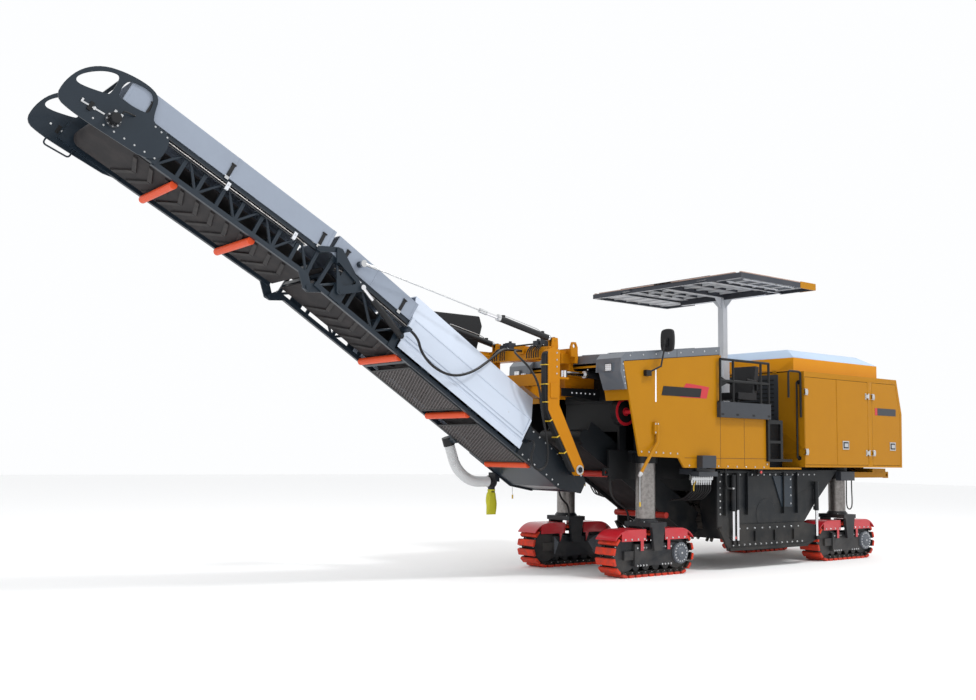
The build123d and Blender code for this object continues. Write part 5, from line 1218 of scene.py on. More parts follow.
# --- front body and platform
@dataclass
class FrontBody:
    """Painted body in front of the platform, its cap, lamps, mirrors, steps and consoles."""

    half: float = 1.18
    deck_z: float = 2.25

    def build(self) -> None:
        """Dress the body's nodes and add its details."""
        dress("front_body", self.body_finish, 0.006)
        dress("front_cap", plain("cap_grey"), 0.01)
        dress("platform_rails", lambda m, n: "box_dark" if m.z < 2.4705 else "mesh_black", 0.005)
        dress("operator_stations", self.station_finish, 0.012)
        dress("access_ladders", plain("mesh_black"), 0.003)
        dress("mirrors", plain("plastic_black"), 0.006, lambda m: m.x < 2.4015)
        head = Maker("mirror_heads")
        y, z = self.half + 0.12, 3.27
        head.cross("plastic_black", octagon(y, z, (0.12, 0.085), (0.1, 0.16)), 2.36, 2.401)
        head.done("chassis", 0.008, mirrored=True)
        dress("control_boxes", plain("box_dark"), 0.005)
        self.cap_details()
        self.side_details()
        self.valve_block()
        self.deck_details()
        self.mirror_glass()

    def body_finish(self, middle: Vector, normal: Vector) -> str:
        """Yellow outside, black inside and on the deck."""
        across = abs(middle.y)
        if across > 1.19:
            return "body_yellow"
        if across > 1.14 and normal.y * middle.y > -0.5 and middle.x > -0.1:
            return "body_yellow"
        if middle.x > 2.955 and middle.z > 2.4 and normal.x > -0.3:
            return "body_yellow"
        if middle.z > 2.6 and normal.z > 0.5:
            return "body_yellow"
        return "housing_black"

    @staticmethod
    def station_finish(middle: Vector, normal: Vector) -> str:
        """Vinyl seats, grey consoles and black posts."""
        if middle.x < 0.31 and middle.z > 2.54:
            return "seat_vinyl"
        if middle.x > 0.6 and middle.z > 2.7:
            return "plastic_black"
        return "box_dark"

    def cap_details(self) -> None:
        """Lamps, gauge strip, seams and bolts on the nose cap."""
        lamps = Maker("nose_lamps")
        seams = Maker("cap_seams")
        bolts = Bolts("cap_bolts", 0.009, 0.006)
        lamps.box("lamp_white", (3.2145, 3.218), (0.915, 1.025), (2.815, 2.905))
        for row in range(3):
            for col in range(3):
                y, z = 0.935 + 0.035 * col, 2.832 + 0.028 * row
                lamps.rod("bright_steel", (3.2145, y, z), (3.2195, y, z), 0.011, 0.013, sides=16)
        lamps.box("plastic_black", (3.214, 3.2165), (0.905, 1.035), (2.805, 2.915))
        lamps.box("lamp_white", (2.485, 2.508), (self.half - 0.001, self.half + 0.006), (2.41, 2.86))
        seams.box("plastic_black", (2.05, 2.056), (self.half - 0.003, self.half + 0.001), (3.05, 3.172))
        seams.plate("plastic_black", [(1.12, 3.166), (3.1, 2.95), (3.1, 2.943), (1.12, 3.159)], self.half - 0.002,
                    self.half + 0.003)
        bolts.line((1.2, self.half, 3.215), (3.0, self.half, 3.025), 8, (0, 1, 0))
        bolts.line((3.14, self.half, 2.9), (3.1, self.half, 2.64), 4, (0, 1, 0))
        lamps.done("chassis", 0.0015, mirrored=True)
        seams.done("chassis", mirrored=True)
        bolts.done("chassis", mirrored=True)
        top = Maker("cap_ribs")
        for y in (-0.78, -0.26, 0.26, 0.78):
            top.plate("cap_grey", [(1.2, 3.268), (1.22, 3.284), (3.02, 3.085), (3.04, 3.066)], y - 0.012, y + 0.012)
        top.done("chassis", 0.003)

    def side_details(self) -> None:
        """Blank plate, panel seams, bolts and stay ends on the sides."""
        half = self.half
        plates = Maker("side_plates_blank")
        seams = Maker("side_seams")
        bolts = Bolts("side_bolts", 0.01, 0.007)
        plates.plate(
            "fender_crimson", [(1.42, 2.5), (1.36, 2.67), (1.78, 2.7), (1.86, 2.7), (1.94, 2.62), (2.0, 2.5)], half,
            half + 0.003)
        plates.plate("plastic_black", [(1.56, 2.51), (1.53, 2.64), (2.34, 2.64), (2.38, 2.51)], half + 0.003,
                     half + 0.006)
        for x in (1.111, 0.56):
            seams.box("plastic_black", (x, x + 0.005), (half - 0.002, half + 0.0012), (1.52, 2.236 if x < 1 else 3.1))
        seams.box("plastic_black", (-0.03, 1.9), (half - 0.002, half + 0.0012), (1.64, 1.645))
        bolts.line((2.78, half, 1.72), (2.05, half, 1.7), 6, (0, 1, 0))
        bolts.line((0.02, half, 1.56), (0.02, half, 2.18), 5, (0, 1, 0))
        bolts.line((0.1, half, 1.515), (1.8, half, 1.535), 9, (0, 1, 0))
        for x in (2.49, 2.54):
            for z in (1.985, 2.105):
                bolts.add((x, half + 0.04, z), (0, 1, 0))
        plates.done("chassis", 0.001, mirrored=True)
        seams.done("chassis", mirrored=True)
        bolts.done("chassis", mirrored=True)
        stays = Maker("stay_ends")
        stays.rod("bright_steel", (2.952, 1.328, 1.427), (2.985, 1.337, 1.397), 0.034, 0.026, sides=24)
        stays.rod("bright_steel", (2.985, 1.337, 1.397), (2.997, 1.34, 1.386), 0.018, 0.01, sides=16)
        stays.pipe("bright_steel", [(2.975, 1.334, 1.405), (2.975, 1.334, 1.2), (2.97, 1.33, 1.04)], 0.005, sides=8)
        stays.rod("tie_yellow", (2.97, 1.33, 1.045), (2.97, 1.33, 0.985), 0.012, 0.012, sides=12)
        stays.done("chassis", mirrored=True)

    def valve_block(self) -> None:
        """Valve block with silver fittings below the body's edge."""
        valves = Maker("valve_block")
        x0, x1 = 1.16, 1.62
        y = 1.02
        valves.box("box_dark", (x0 - 0.03, x1 + 0.03), (0.86, 1.09), (1.405, 1.485))
        valves.box("bright_steel", (x0, x1), (y, y + 0.055), (1.325, 1.405))
        for k in range(9):
            x = x0 + 0.03 + 0.05 * k
            valves.rod("bright_steel", (x, y + 0.028, 1.325), (x, y + 0.028, 1.285), 0.017, sides=6)
            valves.rod("bright_steel", (x, y + 0.028, 1.285), (x, y + 0.028, 1.255), 0.012, sides=12)
            valves.pipe(
                "hose_black", [(x, y + 0.028, 1.26), (x, y + 0.028, 1.17), (x + 0.03, y - 0.1, 1.04 + 0.01 * (k % 3)),
                (x + 0.06, y - 0.34, 1.02)], 0.011, sides=8, bend=0.06)
            valves.rod("bright_steel", (x, y + 0.055, 1.365), (x, y + 0.072, 1.365), 0.013, sides=6)
        valves.pipe("tie_yellow", [(x1 - 0.06, y + 0.07, 1.31), (x1 + 0.02, y + 0.1, 1.25),
                                   (x1 + 0.02, y + 0.1, 1.17)], 0.008, sides=8)
        valves.pipe("mesh_black", [(0.93, 1.12, 1.49), (0.93, 1.12, 1.3), (0.9, 1.12, 1.2), (0.78, 1.12, 1.2)], 0.014)
        valves.rod("bright_steel", (0.785, 1.12, 1.2), (0.745, 1.12, 1.2), 0.016, sides=16)
        valves.box("plastic_black", (0.1, 0.2), (1.1, 1.16), (1.4, 1.485))
        valves.rod("lamp_red", (0.15, 1.16, 1.44), (0.15, 1.172, 1.44), 0.022, sides=20)
        valves.done("chassis", 0.0015, mirrored=True)

    def deck_details(self) -> None:
        """Tread pattern, console knobs, screens, grab rails, and the seats' arm frames and bases."""
        lozenge = Maker("deck_tread")
        lozenge.plate("frame_black", [(-0.016, 0.0), (0.0, 0.0025), (0.016, 0.0), (0.0, -0.001)], -0.003, 0.003)
        repeated(
            trees.field, lozenge, "yoke_graphite", {"Columns": 30, "Rows": 44, "Pitch X": 0.034, "Pitch Y": 0.036},
            Matrix.Translation((0.56, 0.0, self.deck_z + 0.0002)), "chassis")
        desk = Maker("console_details")
        for side in (1, -1):
            y = side * 0.64
            desk.place = Matrix.Translation((0.86, y, 2.905)) @ Matrix.Rotation(radians(-21.8), 4, "Y")
            desk.box("plastic_black", (-0.17, 0.17), (-0.27, 0.27), (0.0, 0.006))
            desk.box("cap_grey", (-0.05, 0.13), (-0.1, 0.1), (0.006, 0.022))
            desk.box("lamp_white", (-0.035, 0.115), (-0.085, 0.085), (0.022, 0.0235))
            for k in range(6):
                desk.rod("tie_yellow" if k % 3 == 0 else "bright_steel", (-0.11, -0.22 + 0.088 * k, 0.006),
                         (-0.11, -0.22 + 0.088 * k, 0.02), 0.013, 0.011, sides=16)
            for dy in (-0.19, 0.19):
                desk.rod("plastic_black", (0.03, dy, 0.006), (0.03, dy, 0.06), 0.012, 0.01, sides=12)
                desk.rod("plastic_black", (0.03, dy, 0.06), (0.03, dy, 0.095), 0.02, 0.017, sides=16)
        desk.place = UNTURNED
        desk.done("chassis", 0.002)
        seats = Maker("seat_details")
        for side in (1, -1):
            y = side * 0.64
            for dy in (-0.245, 0.245):
                seats.pipe("plastic_black", [(-0.14, y + dy, 2.7), (-0.14, y + dy, 2.84), (0.12, y + dy, 2.86)], 0.02)
            seats.rod("bright_steel", (0.06, y, 2.256), (0.06, y, 2.275), 0.17, 0.14, sides=32)
        seats.done("chassis", 0.003)
        rails = Maker("platform_grab_rails")
        for side in (1, -1):
            y = side * (self.half + 0.03)
            rails.pipe("mesh_black", [(-0.81, y, 2.3), (-0.81, y, 3.02), (-0.5, y, 3.02), (-0.5, y, 2.6)], 0.017)
            for x in (0.05, 0.42, 0.8, 1.14):
                rails.box("mesh_black", (x - 0.03, x + 0.03), (side * 1.2505 - 0.001, side * 1.2505 + 0.001),
                          (2.27, 2.3))
        rails.done("chassis")

    def mirror_glass(self) -> None:
        """Glass on the rear faces of the mirror heads, with its clamps."""
        glass = Maker("mirror_glass")
        y = self.half + 0.12
        glass.cross("mirror_glass", octagon(y, 3.27, (0.106, 0.075), (0.09, 0.146)), 2.3585, 2.3605)
        glass.box("plastic_black", (2.405, 2.425), (y - 0.035, y + 0.035), (3.19, 3.3))
        glass.rod("plastic_black", (2.425, y, 3.21), (2.425, y, 3.28), 0.02)
        glass.done("chassis", 0.0008, mirrored=True)


# --- canopy
@dataclass
class Canopy:
    """Canopy with folding side wings on its mast."""

    z: float = 4.283
    half: float = 1.548
    rear_x: float = -0.772
    front_x: float = 1.068

    def build(self) -> None:
        """Dress the canopy and the mast and add trim."""
        sheet = dress("canopy", self.finish, 0.006)
        for vertex in sheet.data.vertices:
            if vertex.co.y > self.half - 0.05 and (TO_ROW.inverted() @ vertex.co).x < self.rear_x + 0.05:
                vertex.co += Vector((0.004, -0.004, 0.0))
        dress("canopy_mast", plain("mast_pale"), 0.006)
        trim = Maker("canopy_trim", Matrix.Translation((0.0, 0.0, self.z)))
        for y in (-0.93, 0.93):
            for k in range(5):
                x = self.rear_x + 0.14 + 0.39 * k
                trim.box("canopy_rim", (x, x + 0.09), (y - 0.045, y + 0.045), (0.074, 0.088))
        for k in range(6):
            x = self.rear_x + 0.2 + 0.29 * k
            for y0, y1 in ((-0.885, -0.07), (0.07, 0.885)):
                trim.box("canopy_light", (x, x + 0.035), (y0, y1), (0.04, 0.0705))
            for side in (1, -1):
                trim.box("canopy_light", (x, x + 0.025), (side * 0.95, side * 1.5), (0.024, 0.0405))
        corner = [(self.rear_x - 0.001, self.half), (self.rear_x + 0.4, self.half),
                  (self.rear_x + 0.33, self.half - 0.02), (self.rear_x + 0.02, self.half - 0.02),
                  (self.rear_x + 0.02, self.half - 0.26), (self.rear_x - 0.001, self.half - 0.3)]
        trim.solid("body_yellow", [[(x, y, z) for x, y in corner] for z in (-0.006, 0.098)])
        for y in (-1.0, 1.0):
            trim.box("canopy_rim", (self.rear_x + 0.02, self.front_x - 0.02),
                     (y * (self.half - 0.05), y * (self.half - 0.012)), (0.078, 0.094))
        for y in (-0.62, 0.62):
            trim.box("canopy_rim", (self.front_x - 0.05, self.front_x - 0.012), (y - 0.8, y + 0.8), (0.078, 0.094))
        for y in (-0.42, 0.42):
            trim.box("canopy_slate", (self.rear_x + 0.06, self.front_x - 0.06), (y - 0.02, y + 0.02), (0.04, 0.0705))
        for y in (1.05, 1.35):
            trim.box("mast_pale", (self.rear_x + 0.3, self.front_x - 0.3), (y - 0.012, y + 0.012), (0.02, 0.0405))
        trim.done("canopy_body", 0.002)
        bolts = Bolts("canopy_bolts", 0.01, 0.007)
        for y in (-0.96, 0.96, -0.9, 0.9):
            z = self.z + (0.105 if abs(y) < 0.93 else 0.075)
            bolts.line((self.rear_x + 0.1, y, z), (self.front_x - 0.1, y, z), 9, (0, 0, 1))
        bolts.done("canopy_body")

    def finish(self, middle: Vector, normal: Vector) -> str:
        """Grey top and rims, and a pale underside with painted shade in slate under the near wing; the trim adds one
        yellow corner.
        """
        if middle.z < self.z - 0.03:
            return "mast_pale"
        if normal.z > 0.5:
            return "canopy_grey"
        # Undersides past y = 0.93, under the near wing, fall through to slate: painted shade on a wing built like the
        # pale far one.
        if normal.z < -0.5 and middle.y < 0.93:
            return "canopy_light"
        return "canopy_slate"


# --- engine module
@dataclass
class EngineModule:
    """Rear module with six doors and the hinged hood."""

    half: float = 1.25
    front_x: float = -0.85
    roof_z: float = 3.03
    floor_z: float = 1.52
    hood_half: float = 1.05
    hood_front_x: float = -0.86
    hood_rear_x: float = -3.24
    hood_shoulder: float = 3.262
    hood_top: float = 3.42
    latch_inset: float = 0.23
    latch_z: float = 1.88
    hinges_z: tuple[float, float] = (1.76, 2.705)
    doors: tuple[tuple[str, float, float], ...] = (
        ("front", -0.87, -1.727), ("middle", -2.62, -1.733), ("rear", -2.757, -3.59))

    def build(self) -> None:
        """Dress the module and add latches, handles, vents and trims."""
        dress("module_shell", self.shell_finish, 0.008)
        dress("engine_hood", self.hood_finish, 0.014)
        dress("engine_block", plain("drum_steel"), 0.02)
        for side in Side:
            for door in self.doors:
                self.door(side, *door)
        self.handrail()
        self.rear_face()
        self.hood_ribs()

    def shell_finish(self, middle: Vector, normal: Vector) -> str:
        """Orange outside with steel hinge lugs and a dark inside."""
        if abs(middle.y) > self.half + 0.001:
            return "bright_steel"
        outer = abs(middle.y) > self.half - 0.03 or middle.x > self.front_x - 0.01 or middle.z > self.roof_z - 0.01
        rear = normal.x < -0.3 and middle.x < -3.45
        if middle.z < self.floor_z + 0.01 or normal.z < -0.7:
            return "housing_black"
        if rear or (outer and (normal.y * middle.y > 0.3 or normal.x > 0.3 or normal.z > 0.3)):
            return "door_yellow"
        return "housing_black"

    def hood_finish(self, middle: Vector, normal: Vector) -> str:
        """Orange sides with a pale top and a black inside."""
        inside = (abs(middle.y) < self.hood_half - 0.012 and middle.z < self.hood_shoulder - 0.012
                  and self.hood_rear_x + 0.012 < middle.x < self.hood_front_x - 0.012)
        if inside or normal.z < -0.2:
            return "housing_black"
        if middle.z > self.hood_shoulder - 0.004 and normal.z > 0.2:
            return "hood_top_pale"
        return "hood_orange"

    def door_finish(self, middle: Vector, normal: Vector) -> str:
        """Yellow outside and black inside, with steel hinges."""
        if abs(middle.y) > self.half + 0.0005:
            return "bright_steel"
        return "door_yellow" if normal.y * copysign(1.0, middle.y) > -0.5 else "housing_black"

    def door(self, side: Side, place: str, hinge_x: float, free_x: float) -> None:
        """Dress one door and add its latch, hinges, plates and bolts.

        Args:
            side: side of the machine.
            place: front, middle or rear.
            hinge_x: place of its hinges along the machine.
            free_x: place of its free edge.
        """
        out = side.value
        name = f"{side.label}_door_{place}"
        body = f"{side.label}_{place}_door"
        dress(name, self.door_finish, 0.005)
        trim = Maker(name + "_trim")
        face = self.half
        toward = 1 if hinge_x > free_x else -1
        latch_x, z = free_x + toward * self.latch_inset, self.latch_z
        latch = (("bright_steel", 0.09, 0.07, 0.0, 0.008), ("plastic_black", 0.072, 0.052, 0.008, 0.0095),
                 ("bright_steel", 0.05, 0.03, 0.0095, 0.016))
        for finish, wide, high, near, far in latch if place != "front" else ():
            trim.box(finish, (latch_x - wide, latch_x + wide), (out * (face + near), out * (face + far)),
                     (z - high, z + high))
        for z in self.hinges_z:
            trim.box("bright_steel", (hinge_x - toward * 0.03, hinge_x - toward * 0.072),
                     (out * face, out * (face + 0.005)), (z - 0.05, z + 0.05))
        if place != "rear":
            trim.box("door_yellow", (free_x, free_x + toward * 0.012), (out * face, out * (face + 0.0025)),
                     (1.575, 2.925))
        else:
            for finish, near, far in (("box_dark", 0.16, 0.72), ("fender_crimson", 0.08, 0.15)):
                trim.box(finish, (hinge_x - toward * near, hinge_x - toward * far),
                         (out * face, out * (face + 0.004)), (2.4, 2.52))
        trim.done(body, 0.001)
        bolts = Bolts(name + "_bolts", 0.006, 0.005)
        for z in self.hinges_z:
            for dz in (-0.032, 0.0, 0.032):
                bolts.add((hinge_x - toward * 0.054, out * (face + 0.005), z + dz), (0, out, 0))
        bolts.done(body)

    def handrail(self) -> None:
        """Bent handrail with round flanges at the module's front corner."""
        panel = Maker("module_front_panel")
        panel.box("box_dark", (self.front_x - 0.001, self.front_x + 0.004), (-0.76, 0.76), (2.26, 3.0))
        for k in range(9):
            z = 2.34 + 0.07 * k
            panel.box("mesh_black", (self.front_x + 0.004, self.front_x + 0.009), (-0.68, 0.68), (z, z + 0.022))
        panel.done("chassis", 0.001)
        rail = Maker("module_handrails")
        y = self.half - 0.1
        x = self.front_x + 0.055
        rail.pipe("mesh_black", [(self.front_x, y, 1.66), (x, y, 1.66), (x, y, 2.86), (self.front_x, y, 2.86)], 0.015)
        for z in (1.66, 2.86):
            rail.rod("mesh_black", (self.front_x - 0.001, y, z), (self.front_x + 0.008, y, z), 0.034, sides=24)
        rail.done("chassis", mirrored=True)

    def rear_face(self) -> None:
        """Grille, lamps and bumper trim on the rear."""
        slat = Maker("rear_grille")
        slat.box("mesh_black", (-0.0025, 0.004), (-0.86, 0.86), (-0.006, 0.006))
        repeated(trees.row, slat, "mesh_black", {"Count": 17, "Step": (-0.00082, 0.0, 0.036)},
                 Matrix.Translation((-3.6542, 0.0, 1.74)), "chassis")
        lamps = Maker("rear_lamps")
        lamps.box("plastic_black", (-3.524, -3.519), (0.66, 0.94), (1.362, 1.424))
        lamps.box("lamp_red", (-3.529, -3.523), (0.7, 0.9), (1.375, 1.412))
        lamps.box("lamp_red", (-3.664, -3.65), (0.98, 1.1), (1.62, 1.7))
        lamps.done("chassis", 0.002, mirrored=True)

    def hood_ribs(self) -> None:
        """Ribs on the hood's top."""
        ribs = Maker("hood_ribs")
        for y in (-0.7, -0.35, 0.0, 0.35, 0.7):
            ribs.box("hood_top_pale", (self.hood_rear_x + 0.28, self.hood_front_x - 0.26), (y - 0.01, y + 0.01),
                     (self.hood_top - 0.004, self.hood_top + 0.0045))
        ribs.done("hood", 0.002)


# --- nose frame and slewing bracket
@dataclass
class Nose:
    """Fixed nose frame, slewing bracket, its cylinders and the hoses clamped to it."""

    slew_x: float = 3.35
    cylinder_y: float = 0.43
    cylinder_z: float = 2.79
    arm_y: float = 0.64
    arm_half: float = 0.045
    lift_x: float = 3.47
    lift_z: float = 1.46

    def build(self) -> None:
        """Dress the nodes and add pins, bolts, hoses and valves."""
        dress("slew_mount", self.mount_finish, 0.006)
        dress("slew_bracket", self.bracket_finish, 0.01)
        for side in Side:
            dress(side.label + "_slew_barrel", plain("plastic_black"), 0.002)
            dress(side.label + "_slew_rod", plain("chrome"), 0.001)
            self.cylinder(side)
        self.pins()
        self.bundle()
        self.valves()

    @staticmethod
    def mount_finish(middle: Vector, normal: Vector) -> str:
        """Dark beams behind an orange spine."""
        if middle.x < 2.6005 or (middle.z < 2.6205 and middle.x < 3.19):
            return "frame_black"
        return "bracket_yellow"

    def bracket_finish(self, middle: Vector, normal: Vector) -> str:
        """Orange bracket with steel pins."""
        if hypot(middle.x - self.slew_x, middle.y) < 0.0805 and abs(normal.z) < 0.5:
            return "bright_steel"
        if hypot(middle.x - STRUT_PIN[0], middle.z - STRUT_PIN[1]) < 0.017 and abs(normal.y) < 0.5:
            return "bright_steel"
        return "bracket_yellow"

    def cylinder(self, side: Side) -> None:
        """Gland, ports and pipe of one slewing cylinder."""
        y, z = side.value * self.cylinder_y, self.cylinder_z
        trim = Maker(side.label + "_slew_trim")
        trim.rod("bright_steel", (3.12, y, z), (3.154, y, z), 0.053, sides=32)
        trim.rod("bright_steel", (2.34, y, z), (2.352, y, z), 0.0525, sides=32)
        for x in (2.4, 3.08):
            trim.box("plastic_black", (x - 0.018, x + 0.018), (y - 0.018, y + 0.018), (z + 0.044, z + 0.066))
            trim.rod("bright_steel", (x, y, z + 0.066), (x, y, z + 0.082), 0.012, sides=6)
        trim.pipe("bright_steel", [(3.08, y, z + 0.08), (3.04, y, z + 0.088), (2.52, y, z + 0.07),
                                   (2.46, y, z + 0.07)], 0.007, sides=8)
        trim.done(side.label + "_slew_barrel_body", 0.001)

    def pins(self) -> None:
        """Covers of the pins and the bolts round them."""
        covers = Maker("bracket_covers")
        bolts = Bolts("bracket_bolts", 0.009, 0.008)
        top = 3.1453
        covers.rod("bright_steel", (self.slew_x, 0, top + 0.001), (self.slew_x, 0, top + 0.012), 0.105, sides=40)
        bolts.ring((self.slew_x, 0, top + 0.012), 0.082, 8, (0, 0, 1))
        face = self.arm_y + self.arm_half
        for side in (1, -1):
            y = side * face
            covers.rod("bright_steel", (self.lift_x, y, self.lift_z), (self.lift_x, y + side * 0.009, self.lift_z),
                       0.066, sides=40)
            bolts.ring((self.lift_x, y + side * 0.009, self.lift_z), 0.05, 8, (0, side, 0))
            bolts.line((3.9, y, 3.03), (3.9, y, 2.75), 4, (0, side, 0))
            covers.box("bracket_yellow", (3.885, 4.02), (y, y + side * 0.012), (2.42, 2.62))
        covers.done("bracket", 0.002)
        bolts.done("bracket")
        # White bolts in the glowing lamp finish: a painted glow on bolts, which are no lamps.
        white = Bolts("mount_bolts", 0.009, 0.008, "lamp_white")
        for side in (1, -1):
            white.line((2.7, side * 0.17, 2.545), (3.14, side * 0.17, 2.545), 6, (0, side, 0))
        white.done("chassis")

    def bundle(self) -> None:
        """Hoses clamped down the front of the left arm, with yellow ties."""
        hoses = Maker("arm_hose_bundle")
        for k in range(8):
            y = self.arm_y - 0.034 + 0.022 * (k // 2)
            lift = 0.004 + 0.024 * (k % 2)
            hoses.pipe("hose_black", [(3.99, y, 3.06), (4.07 + lift, y, 3.02), (4.063 + lift, y, 2.262),
                                      (3.59 + lift, y, 1.482), (3.56, y, 1.44)], 0.012, sides=10, bend=0.12)
        for x, z in ((4.079, 2.86), (4.077, 2.6), (4.074, 2.36), (3.995, 2.122), (3.865, 1.91), (3.735, 1.698)):
            slant = 0.0 if z > 2.27 else radians(-31.4)
            hoses.place = Matrix.Translation((x, self.arm_y, z)) @ Matrix.Rotation(-slant, 4, "Y")
            hoses.box("tie_yellow", (-0.018, 0.034), (-0.056, 0.056), (-0.006, 0.006))
        hoses.place = UNTURNED
        hoses.done("bracket")

    def valves(self) -> None:
        """Valve blocks, couplings and short pipes on the bracket's crown."""
        crown = Maker("crown_valves")
        for x, y, size, high in ((3.9, 0.3, 0.055, 0.1), (3.9, 0.44, 0.045, 0.13), (3.92, -0.28, 0.06, 0.11),
                                 (3.89, -0.45, 0.045, 0.09)):
            crown.box("box_dark", (x - size, x + size), (y - 0.05, y + 0.05), (3.12, 3.12 + high))
            for k in range(3):
                dy = -0.032 + 0.032 * k
                crown.rod("bright_steel", (x + size, y + dy, 3.145), (x + size + 0.02, y + dy, 3.145), 0.011, sides=6)
                crown.pipe("hose_black", [(x + size + 0.018, y + dy, 3.145), (x + size + 0.05, y + dy, 3.145),
                                          (4.07, y + dy * 1.4, 3.06), (4.065, y + dy * 1.5, 2.97)], 0.009, sides=8)
            crown.rod("plastic_black", (x, y, 3.12 + high), (x, y, 3.145 + high), 0.022, sides=16)
        crown.pipe("plastic_black", [(3.86, -0.52, 3.125), (3.86, -0.52, 3.19), (3.86, 0.52, 3.19),
                                     (3.86, 0.52, 3.125)], 0.012)
        crown.done("bracket", 0.0015)


# --- discharge conveyor
@dataclass
class Conveyor:
    """Lower and upper sections of the discharge conveyor."""

    half: float = 0.493
    head: tuple[float, float] = (2.748, 0.135)
    white_end: float = 3.262
    tip_x: float = 2.14
    hoop_face: float = 0.529
    truss_side: float = 0.521
    cover_side: float = 0.505

    def build(self) -> None:
        """Dress both sections and add belts' cleats, guards, ribs, latches and pipes."""
        dress("lower_truss", self.lower_finish, 0.004)
        dress("lower_belt", self.lower_belt_finish, 0.003)
        dress("lower_cover", self.cover_finish, 0.003, smooth=14.0)
        dress("upper_truss", plain("truss_slate"), 0.004, lambda m: abs(m.y) > 0.5125
              and (UPPER_BACK @ m).x > self.tip_x - 0.001)
        self.hoops()
        dress("upper_belt", self.upper_belt_finish, 0.003)
        dress("upper_cover", plain("cover_sheet"), 0.003, smooth=14.0)
        self.guards()
        self.cleats("lower_cleats", LOWER, 0.45, 4.35, (0.281, 0.079), "lower_conveyor")
        self.cleats("upper_cleats", UPPER, 0.2, 2.6, (0.243, 0.027), "upper_conveyor")
        self.cover_ribs()
        self.latches()
        self.pipes()
        self.head_motor()
        self.foot_details()

    def cover_finish(self, middle: Vector, normal: Vector) -> str:
        """White cover, plain sheet beyond its end."""
        return "cover_white" if (LOWER_BACK @ middle).x < self.white_end else "cover_sheet"

    def hoops(self) -> None:
        """Rounded guard plates with windows beside the head drum."""
        tip = UPPER @ Matrix.Translation((self.tip_x, 0.0, 0.0))
        outline = eased(
            [(0.0, 0.0), (0.62, -0.042), (0.98, -0.058), (1.183, -0.03), (1.195, 0.18), (1.13, 0.395), (0.98, 0.565),
            (0.76, 0.66), (0.5, 0.705), (0.34, 0.665), (0.295, 0.46), (0.25, 0.378), (0.0, 0.378)], 2)
        rear_window = [(0.345, 0.47), (0.375, 0.415), (0.66, 0.375), (0.712, 0.43), (0.7, 0.585), (0.63, 0.63),
                       (0.48, 0.664), (0.385, 0.632)]
        front_window = [(0.765, 0.36), (0.8, 0.33), (1.06, 0.235), (1.13, 0.26), (1.085, 0.375), (0.95, 0.52),
                        (0.82, 0.59), (0.77, 0.565)]
        windows = [eased(rear_window, 2), eased(front_window, 2)]
        hoops = Maker("tip_hoops", tip)
        for side in (1, -1):
            hoops.pierced("truss_slate", outline, windows, side * (self.hoop_face - 0.016), side * self.hoop_face)
        hoops.done("upper_conveyor", 0.004)
        bars = Maker("tip_bars", tip)
        bars.pipe("truss_slate", [(0.62, -0.5, -0.02), (0.62, -0.5, -0.1), (0.92, -0.5, -0.13), (0.92, -0.5, -0.04)],
                  0.01, sides=10)
        bars.box("truss_slate", (0.72, 0.76), (-0.515, 0.515), (0.57, 0.585))
        bars.done("upper_conveyor", 0.001)

    def lower_finish(self, middle: Vector, normal: Vector) -> str:
        """Slate truss and foot, steel pins and black duct sockets."""
        here = LOWER_BACK @ middle
        if abs(middle.y + 0.66) < 0.1 and here.z < 0.1 and middle.z < 2.1:
            return "plastic_black"
        if abs(here.y) > 0.575 and here.z < 0.2 and here.x < 0.2:
            return "bright_steel"
        if here.x < 0.945 and abs(here.y) > 0.494:
            return "foot_slate"
        return "truss_slate"

    def lower_belt_finish(self, middle: Vector, normal: Vector) -> str:
        """Brown belts, orange rollers and a dark tail drum."""
        here = LOWER_BACK @ middle
        if min(hypot(here.x - s, here.z - 0.008) for s in (3.11, 1.85, 0.64)) < 0.047:
            return "roller_red"
        return "belt_brown" if here.z > 0.262 or 0.078 < here.z < 0.098 else "frame_black"

    def upper_belt_finish(self, middle: Vector, normal: Vector) -> str:
        """Brown belts and head drum, orange rollers."""
        here = UPPER_BACK @ middle
        if min(hypot(here.x - s, here.z + 0.024) for s in (0.83, 1.87)) < 0.047:
            return "roller_red"
        return "frame_black" if abs(here.y) > 0.402 else "belt_brown"

    def guards(self) -> None:
        """Expanded mesh below the lower belt, in angle frames."""
        width = self.half - 0.0453
        for number, (start, end) in enumerate(((1.98, 2.92), (0.72, 1.65))):
            strand = Maker(f"belt_mesh_{number}")
            pitch_x, pitch_y = 0.042, 0.076
            for slant in (1, -1):
                turn = atan2(pitch_y * slant, pitch_x)
                strand.place = Matrix.Rotation(turn, 4, "Z")
                reach = hypot(pitch_x, pitch_y) / 2
                strand.box("mesh_worn", (-reach, reach), (-0.0045, 0.0045), (-0.003, 0.003))
            count_x, count_y = int((end - start) / pitch_x), int(2 * width / pitch_y)
            repeated(
                trees.field, strand, "mesh_worn", {"Columns": count_x, "Rows": count_y, "Pitch X": pitch_x,
                "Pitch Y": pitch_y}, LOWER @ Matrix.Translation(((start + end) / 2, 0.0, -0.002)), "lower_conveyor",
                ("belt_guards",) if number == 0 else ())
            rim = Maker(f"belt_mesh_rim_{number}", LOWER)
            for y0, y1 in ((-width, -width + 0.03), (width - 0.03, width)):
                rim.box("mesh_black", (start, end), (y0, y1), (-0.008, 0.0))
            for s0, s1 in ((start, start + 0.03), (end - 0.03, end)):
                rim.box("mesh_black", (s0, s1), (-width, width), (-0.0075, 0.0005))
            rim.done("lower_conveyor", 0.001)

